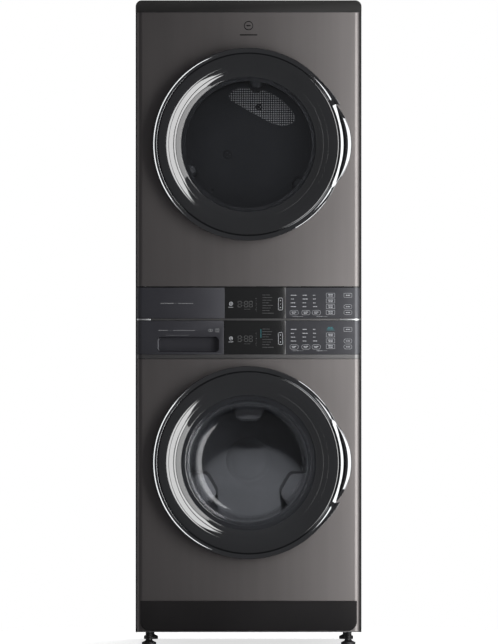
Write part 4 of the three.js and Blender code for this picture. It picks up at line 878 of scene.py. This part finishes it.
# ---------- doors ----------
# Profiles are (radius, height above the front panel) in millimetres.
doorSet = {
    "gripHalfAngle": 28,
    "gripReach": 20,
    "gripTip": 7.5,
    "scoopReach": 31 * mm,
    "scoopHalfHeight": 85 * mm,
    "hingeX": -284 * mm,
    "hingeAhead": 22.5 * mm,
    "hingePocketHalf": 7.5 * mm,
    "hingeRoomHalf": 62.8 * mm,
    "plain": [(276.6, 18), (276.6, 39), (278, 39.8), (279.6, 40.5), (281.2, 40.6), (283, 40.1), (286, 39.6),
              (287.5, 40.4), (289, 41.1), (290.2, 41.2), (291.6, 40.4), (292.7, 37.6), (293, 32), (293, 26),
              (292.6, 18)],
    "grip": [(276.6, 18), (276.6, 42), (277.8, 45.6), (280.4, 46.5), (282.2, 46), (289.6, 41.7), (291, 41.3),
             (293.2, 47.6), (296.4, 51.3), (300.2, 52), (303, 51.7), (311, 48.2), (313, 43.6), (312.2, 35.4),
             (294, 29)],
    "bezel": [(205.2, 20.8), (206.4, 21.6), (208, 21.9), (211, 24.2), (215, 27.3), (219, 30.2), (223, 32.7),
              (226.6, 34.5), (227.4, 34.1), (228.2, 34.2), (230, 35.3), (233, 36.8), (236, 38.2), (239, 39.5),
              (242, 40.7), (242.8, 40.7), (243.6, 41.2), (246, 42.2), (250, 43.5), (254, 44.6), (257, 45.2),
              (259.4, 45.5), (263, 45.8), (267, 46.1), (271, 46.3), (273.4, 45.6), (274.6, 43.6), (275.2, 41),
              (275.9, 39.6)],
    "rib": [(275.2, 38.5), (275.2, 40.6), (276, 41.2), (276.5, 40.6), (276.5, 38.5)],
    "dome": [(0, 26.2), (70, 25.4), (140, 22.6), (190, 18.8), (204, 17.4), (215.8, 17.2)],
    "domeBack": [(215.8, 12.4), (204, 12.4), (190, 13.8), (140, 17.8), (70, 20.6), (0, 21.4)],
    "bowl": [(215.8, 17.1), (197, 17.1), (189.5, 14.5), (182.5, 3), (178.5, -14), (174, -48), (164, -70), (142, -82),
             (90, -88), (0, -90)],
    "bowlBack": [(0, -92.4), (90, -90.6), (143, -84.6), (166.4, -72.2), (176.6, -49), (181.2, -15), (185.4, 1.4),
                 (191.4, 10.6), (198, 12.3), (215.8, 12.3)],
}


def ahead(height):
    return faceY - height * mm


def placed(profile):
    return [(r * mm, ahead(h)) for r, h in profile]


# Finger room behind the grip, as a curved block under the door's right edge.
def scoopCutter(doorZ):
    inner = doorRadius - doorSet["scoopReach"]
    half = math.asin(doorSet["scoopHalfHeight"] / inner)
    bm = bmesh.new()
    outer = doorRadius + 40 * mm
    corners = ((inner, ahead(-1)), (inner, ahead(27.5)), (outer, ahead(27.5)), (outer, ahead(-1)))
    face = bm.faces.new([bm.verts.new((r, y, 0)) for r, y in corners])
    bmesh.ops.rotate(bm, verts=bm.verts, cent=(0, 0, 0), matrix=Matrix.Rotation(half, 3, "Y"))
    bmesh.ops.spin(bm, geom=[face] + bm.verts[:] + bm.edges[:], cent=(0, 0, 0), axis=(0, 1, 0),
                   angle=-2 * half, steps=24)
    bmesh.ops.remove_doubles(bm, verts=bm.verts, dist=1e-6)
    bmesh.ops.holes_fill(bm, edges=[e for e in bm.edges if len(e.link_faces) == 1])
    bmesh.ops.recalc_face_normals(bm, faces=bm.faces)
    shift(bm, z=doorZ)
    return bm


def hingePockets(doorZ):
    x = doorSet["hingeX"]
    deep = faceY - doorSet["hingeAhead"] - 14 * mm
    half, spacing = doorSet["hingePocketHalf"], cabinetSet["hingeSpacing"]
    return [block((x - 14 * mm, x + 8.5 * mm), (deep, faceY + 1 * mm), (middle - half, middle + half))
            for middle in (doorZ - spacing, doorZ + spacing)]


# Edge of the grip at an angle: a circle through its furthest point and both tips.
def gripEdge(angle):
    tip = math.radians(doorSet["gripHalfAngle"])
    tipRadius = doorRadius / mm - doorSet["gripTip"]
    reach = doorRadius / mm + doorSet["gripReach"]
    centre = (reach ** 2 - tipRadius ** 2) / (2 * (reach - tipRadius * math.cos(tip)))
    return centre * math.cos(angle) + math.sqrt((reach - centre) ** 2 - (centre * math.sin(angle)) ** 2)


def doorRing(name, doorZ, body, node):
    plain, grip = doorSet["plain"], doorSet["grip"]
    bm = turned(placed(plain), 0, 0, 360)
    tip = math.radians(doorSet["gripHalfAngle"])
    for v in bm.verts:
        angle = math.atan2(v.co.z, v.co.x)
        if abs(angle) > tip:
            continue
        radius, height = math.hypot(v.co.x, v.co.z) / mm, (faceY - v.co.y) / mm
        index = min(range(len(plain)), key=lambda i: abs(plain[i][0] - radius) + abs(plain[i][1] - height))
        beyond = gripEdge(angle) - doorRadius / mm
        out = min(max(beyond / doorSet["gripReach"], 0), 1)
        inside = min(max((beyond + doorSet["gripTip"]) / 5, 0), 1)
        share, lift = (inside, inside) if index < 7 else (out, min(out * 1.7, 1))
        radius += (grip[index][0] - plain[index][0]) * share
        height += (grip[index][1] - plain[index][1]) * lift
        v.co = (radius * mm * math.cos(angle), ahead(height), radius * mm * math.sin(angle))
    shift(bm, z=doorZ)
    made = toObject(bm, name, darkChrome, 40)
    x = doorSet["hingeX"]
    room = block((-doorRadius - 5 * mm, x + 17 * mm), (faceY - doorSet["hingeAhead"] - 11.5 * mm, faceY + 1 * mm),
                 (doorZ - doorSet["hingeRoomHalf"], doorZ + doorSet["hingeRoomHalf"]))
    carve(made, room, scoopCutter(doorZ), *hingePockets(doorZ))
    return settle(made, body, "chrome", node)


# Black pointed end of the grip, above its middle on the dryer and below it on the washer.
def gripTail(name, doorZ, body, side):
    outline = [(292.5, 41), (297, 33), (300.4, 27.5), (302.8, 23.2), (298.5, 23.6), (292.5, 24.8), (290.6, 28),
               (290.4, 36)]
    points = [(r * mm * math.cos(math.radians(a)), side * r * mm * math.sin(math.radians(a))) for r, a in outline]
    bm = slab(points, (ahead(45.5), ahead(34)))
    softEdges(bm, 1.2 * mm, 3, 30)
    shift(bm, z=doorZ)
    piece(bm, name, pianoBlack, body, "gloss_black")


for prefix, doorZ, side in (("dryer", dryerZ, 1), ("washer", washerZ, -1)):
    body = prefix + "_door"
    doorRing(prefix + "Ring", doorZ, body, prefix + "_door_trim")
    gripTail(prefix + "Tail", doorZ, body, side)
    face = smoothPath(doorSet["bezel"], 3)
    bezel = turned(placed([(205.2, 18)] + face + [(275.9, 18)]), 0, doorZ, 288)
    bezelPiece = toObject(bezel, prefix + "Bezel", pianoBlack, 50)
    carve(bezelPiece, scoopCutter(doorZ))
    settle(bezelPiece, body, "gloss_black", prefix + "_door_bezel")
    piece(turned(placed(doorSet["rib"]), 0, doorZ, 256), prefix + "Rib", darkChrome, body, "chrome")

for prefix, doorZ, front, back in (("dryer", dryerZ, "dome", "domeBack"), ("washer", washerZ, "bowl", "bowlBack")):
    glass = turned(placed(smoothPath(doorSet[front]) + smoothPath(doorSet[back])), 0, doorZ, 128)
    body = prefix + "_door"
    piece(glass, prefix + "Window", doorGlassFinish, body, "door_glass", body + "_glass", sharp=60)
paint(doorInner, "washer_door_back", "dryer_door_back")

print("doors done")


# ---------- drums ----------
# Closed outline of a sheet of one thickness along (radius, y) points.
def thick(points, thickness):
    sides = [[], []]
    for i, (r, y) in enumerate(points):
        before, after = points[max(i - 1, 0)], points[min(i + 1, len(points) - 1)]
        along = Vector((after[0] - before[0], after[1] - before[1])).normalized()
        for side, outline in zip((1, -1), sides):
            moved = r - along.y * side * thickness / 2
            outline.append((0 if r == 0 else moved, y + along.x * side * thickness / 2))
    return sides[0] + sides[1][::-1]


# A tapered ridge along Y that stands on a round wall, with a round crest and sloping ends.
def ridge(wallRadius, height, base, top, y, angle):
    foot = math.sqrt(wallRadius ** 2 - (base / 2) ** 2)
    rise = height - (wallRadius - foot)
    rows = []
    steps = 16
    ends = 26 * mm
    for yy, share in ((y[0], 0.04), (y[0] + ends * 0.35, 0.62), (y[0] + ends, 0.95), (y[0] + 2 * ends, 1.0),
                      (y[1] - ends, 1.0), (y[1], 0.97)):
        tall = (rise - 2 * mm) * share
        row = [(-base / 2, yy, foot)]
        for i in range(steps + 1):
            across = 2 * i / steps - 1
            flank = min((1 - abs(across)) / (1 - top / base * 0.6), 1)
            climb = 0.5 - 0.5 * math.cos(math.pi * min(flank, 1))
            row.append((across * base / 2, yy, foot - 2 * mm - tall * (0.94 * climb + 0.06 * (1 - across ** 2))))
        row.append((base / 2, yy, foot))
        rows.append(row)
    bm = bmesh.new()
    rings = [[bm.verts.new(p) for p in row] for row in rows]
    edges = [[bm.edges.new((p, q)) for p, q in zip(ring, ring[1:] + ring[:1])] for ring in rings]
    for a, b in zip(edges, edges[1:]):
        bmesh.ops.bridge_loops(bm, edges=a + b)
    bmesh.ops.edgeloop_fill(bm, edges=edges[0])
    bmesh.ops.edgeloop_fill(bm, edges=edges[-1])
    bmesh.ops.recalc_face_normals(bm, faces=bm.faces)
    bmesh.ops.rotate(bm, verts=bm.verts, cent=(0, 0, 0), matrix=Matrix.Rotation(math.radians(90 - angle), 3, "Y"))
    return bm


drumSet = {
    "washerSheet": 1.5 * mm,
    "dryerSheet": 1.2 * mm,
    "ridgeSink": 1.5 * mm,
    "lifter": (142 * mm, 190 * mm, 90 * mm),
    "lifterAngles": (90, 210, 330),
    "vane": (135 * mm, 118 * mm, 30 * mm),
    "vaneAngles": (-37, 83, 203),
    "boot": [(182.4, -14), (183.6, -9.5), (188, -8.6), (208, -9.4), (221, -9.2), (227.2, -11), (228.4, -17),
             (226.6, -23), (219, -27.4), (212.6, -31), (212, -35), (216.6, -38), (218.6, -41.6), (214.6, -45),
             (211, -49), (211, -59.4)],
    "bootSheet": 3.6 * mm,
    "bootBend": (14 * mm, 59 * mm),
}


def ridges(name, radius, axisZ, kind, y, *look):
    for i, angle in enumerate(drumSet[kind + "Angles"]):
        bm = ridge(radius - drumSet["ridgeSink"], *drumSet[kind], y, angle)
        shift(bm, z=axisZ)
        replaced = ("dryer_vane_" + str(i + 1),) if kind == "vane" else ()
        piece(bm, name + str(i + 1), *look, *replaced, sharp=45)


low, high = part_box("washer_drum")
drumRadius = high.z - washerZ
sheet = drumSet["washerSheet"]
front, rear = low.y, high.y - sheet / 2
shell = path([(194.5, 12), (195.2, 6), (198, 2), (204, 0.8)], 0, front)
shell += path([(-26, 0.8), (-12, 4), (-4, 11), (-0.8, 22), (-0.8, 40), (-3, 46), (-0.8, 52)], drumRadius, front)
shell += path([(-0.8, -30), (-4, -14), (-16, -2), (-40, 0)], drumRadius, rear)
shell += path([(210, 0), (196, -9), (120, -12), (70, -16), (52, -6), (0, -5)], 0, rear)
drumSteel = perforatedSteel("washerDrumSteel", washerZ, drumRadius, 13 * mm, 0.16)
piece(turned(thick(shell, sheet), 0, washerZ, 144), "washerDrumShell", drumSteel, "washer_drum", "stainless",
      "washer_drum")
ridges("lifter", drumRadius, washerZ, "lifter", (front + 41 * mm, rear - 22 * mm), lifterPlastic, "washer_drum",
       "stainless")

bm = turned(thick(placed(smoothPath(drumSet["boot"], 3)), drumSet["bootSheet"]), 0, washerZ, 128)
boot = toObject(bm, "bootFolds", bootRubber, 70)
start, end = ((0, faceY + y, washerZ) for y in drumSet["bootBend"])
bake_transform(boot)
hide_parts("door_boot")

low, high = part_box("dryer_drum")
dryerRadius = high.z - dryerZ
front, rear = low.y, high.y
# four rings pressed inwards along the sheet
shell = [(0, 0.7)]
for start, end in ((0.10, 0.14), (0.34, 0.38), (0.62, 0.66), (0.86, 0.90)):
    shell += [(start, 0.7), ((start + end) / 2, 3.7), (end, 0.7)]
shell = [(dryerRadius - dip * mm, front + (rear - front) * share) for share, dip in shell + [(1, 0.7)]]
dryerSteel = finish("dryerDrumSteel", ((0.16, 0.165, 0.17), (0.20, 0.205, 0.21)),
    0.5, (0.35, 0.48), (6, 60, 6), (30, 800, 30), (0.1, 0.0001))
piece(turned(thick(shell, drumSet["dryerSheet"]), 0, dryerZ, 144), "dryerDrumShell", dryerSteel, "dryer_drum",
      "stainless", "dryer_drum")
ridges("vane", dryerRadius, dryerZ, "vane", (front + 60 * mm, rear - 51 * mm), vanePlastic, "dryer_drum",
       "grey_plastic")

# fixed back wall of the dryer drum, with its grille, hub and thermostat
low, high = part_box("dryer_rear_bulkhead")
wallY, discRadius = high.y - 1.5 * mm, high.z - dryerZ
seat = dryerRadius - 6 * mm
wallBody = turned([(0, wallY), (discRadius, wallY), (discRadius, high.y), (0, high.y)], 0, dryerZ, 144)
piece(wallBody, "dryerBackWall", dryerWall, "cabinet", "zinc_sheet", "dryer_rear_bulkhead")
inner, outer, back = seat - 1.5 * mm, seat + 1.5 * mm, wallY - 0.1 * mm
seatBody = turned([(inner, low.y), (outer, low.y), (outer, back), (inner, back)], 0, dryerZ, 144)
piece(seatBody, "dryerBackSeat", zincSheet, "cabinet", "zinc_sheet")
grille = [(-61, 160), (-57, 170), (-46, 180), (-28, 186.5), (-8, 188), (33, 183), (62, 174), (84, 163), (106, 147),
          (124, 130), (137, 114), (143.5, 100), (143, 88), (136, 78), (122, 72), (104, 70.5), (84, 74), (64, 81.5),
          (4, 114), (-54, 148)]
patch = slab([(x * mm, z * mm + dryerZ) for x, z in grille], (wallY - 2.2 * mm, wallY - 0.05 * mm))
softEdges(patch, 1.2 * mm, 2, 60, every(lambda at: at.y < wallY - 2 * mm))
piece(patch, "dryerGrille", grilleSheet, "cabinet", "zinc_sheet")
frameOuter = [((x - 42) * 1.035 * mm + 42 * mm, (z - 125) * 1.05 * mm + 125 * mm + dryerZ) for x, z in grille]
border = slab(frameOuter, (wallY - 1.2 * mm, wallY - 0.04 * mm))
softEdges(border, 0.8 * mm, 2, 60, every(lambda at: at.y < wallY - 1 * mm))
piece(border, "grilleFrame", vanePlastic, "cabinet", "zinc_sheet")
for name, x, z, radius, depth in (("hubRing", -65.6, -19.1, 14, 4), ("thermostat", 32, 128, 11, 9),
                                  ("wallScrew", -112.7, -129.4, 3.6, 3)):
    # shares of the fitting's radius and depth
    for ending, shares, steps in (("", ((0.55, 0), (0.55, 0.7), (0.7, 1), (0.9, 1), (1, 0.6), (1, 0)), 40),
                                  ("Cap", ((0, 0), (0.42, 0), (0.42, 0.6), (0.3, 0.8), (0, 0.85)), 32)):
        profile = [(radius * r, -depth * y if y else -0.1) for r, y in shares]
        bm = turned(path(profile, 0, wallY), x * mm, dryerZ + z * mm, steps)
        piece(bm, name + ending, darkFitting, "cabinet", "zinc_sheet")
paint(dryerWall, "dryer_front_bulkhead")
paint(greyPlastic, "lint_filter")
low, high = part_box("lint_filter")
middle = (low.y + high.y) / 2
for i, x in enumerate((-66 * mm, 0, 66 * mm)):
    y = (middle - 0.3 * mm, middle + 0.3 * mm)
    screen = block((x - 30 * mm, x + 30 * mm), y, (low.z + 9 * mm, high.z - 33 * mm))
    piece(screen, "lintScreen" + str(i + 1), lintMesh, "lint_filter", "grey_plastic")

print("insides done")

# ---------- camera, floor and lights ----------
stageSet = {
    "cameraX": 1.3 * mm,
    "cameraZ": 983.9 * mm,
    "viewHeight": 1956.1 * mm,
    "distance": 30.0,
    "sensor": 36.0,
}
camera = bpy.data.cameras.new("camera")
camera.sensor_fit = "AUTO"
camera.sensor_width = stageSet["sensor"]
camera.lens = stageSet["sensor"] * stageSet["distance"] / stageSet["viewHeight"]
camera.clip_end = 90
cameraObject = bpy.data.objects.new("camera", camera)
cameraObject.location = (stageSet["cameraX"], faceY - stageSet["distance"], stageSet["cameraZ"])
cameraObject.rotation_euler = (math.pi / 2, 0, 0)
bpy.context.scene.collection.objects.link(cameraObject)
bpy.context.scene.camera = cameraObject


def hang(name, kind, place, aim, power, glossy):
    data = bpy.data.lights.new(name, kind)
    data.energy = power
    lamp = bpy.data.objects.new(name, data)
    lamp.location = place
    lamp.rotation_euler = (Vector(aim) - Vector(place)).to_track_quat("-Z", "Y").to_euler()
    lamp.visible_camera = False
    lamp.visible_glossy = glossy
    bpy.context.scene.collection.objects.link(lamp)
    return data


# name, place, aim, size, power, and whether its mirror image shows
for name, place, aim, size, power, glossy in (
        ("rightBox", (1.02, -1.50, 1.0), (0.15, -0.35, 1.0), (0.9, 2.6), 30, True),
        ("rightWall", (1.15, -0.72, 1.0), (0.0, -0.55, 1.0), (0.55, 2.3), 7, True),
        ("leftBox", (-1.5, -1.3, 1.0), (0, -0.35, 1.0), (0.8, 2.6), 6, False),
        ("leftEdge", (-1.55, 0.35, 1.0), (0, -0.1, 1.0), (0.9, 2.6), 3.5, True),
        ("overhead", (0, -0.6, 3.4), (0, 0, 1.0), (2.4, 2.0), 26, False),
        ("behind", (0.6, 2.6, 2.2), (0, 0.3, 1.0), (1.6, 1.6), 40, True)):
    light = hang(name, "AREA", place, aim, power, glossy)
    light.shape = "RECTANGLE"
    light.size, light.size_y = size

# snoots that each reach only one window
for name, place, aimZ, width, power in (("dryerSnoot", (0, -6.0, dryerZ + 0.05), dryerZ, 4.0, 1500),
                                        ("washerSnoot", (-0.1, -5.6, washerZ + 1.45), washerZ, 4.4, 2300)):
    light = hang(name, "SPOT", place, (0, faceY, aimZ), power, False)
    light.shadow_soft_size = 0.12
    light.spot_size = math.radians(width)
    light.spot_blend = 0.3

floor = bmesh.new()
bmesh.ops.create_circle(floor, cap_ends=True, segments=96, radius=2.6)
floorMaterial, tree, shader = newMaterial("floor")
for name, value in (("Base Color", (0.86, 0.86, 0.86, 1)), ("Emission Color", (1, 1, 1, 1)),
                    ("Emission Strength", 0.7), ("Roughness", 0.7)):
    shader.inputs[name].default_value = value
fade = addNode(tree, "TexGradient")
fade.gradient_type = "SPHERICAL"
tree.links.new(objectPattern(tree, (0.5, 0.5, 0.5)), fade.inputs["Vector"])
tree.links.new(spread(tree, fade.outputs["Fac"], 0, 1), shader.inputs["Alpha"])
floorObject = toObject(floor, "floor", floorMaterial)
floorObject.visible_glossy = False
floorObject.visible_diffuse = False
floorObject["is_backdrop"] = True

world = bpy.data.worlds.new("studio")
bpy.context.scene.world = world
world.use_nodes = True
worldTree = world.node_tree
plain = worldTree.nodes["Background"]
plain.inputs["Color"].default_value = (0.10, 0.10, 0.105, 1)
white = addNode(worldTree, "Background", Color=(1, 1, 1, 1))
rays = addNode(worldTree, "LightPath")
mix = addNode(worldTree, "MixShader")
worldTree.links.new(rays.outputs["Is Camera Ray"], mix.inputs[0])
worldTree.links.new(plain.outputs[0], mix.inputs[1])
worldTree.links.new(white.outputs[0], mix.inputs[2])
worldTree.links.new(mix.outputs[0], worldTree.nodes["World Output"].inputs["Surface"])
bpy.context.scene.view_settings.view_transform = "Standard"

print("stage done")

low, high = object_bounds()
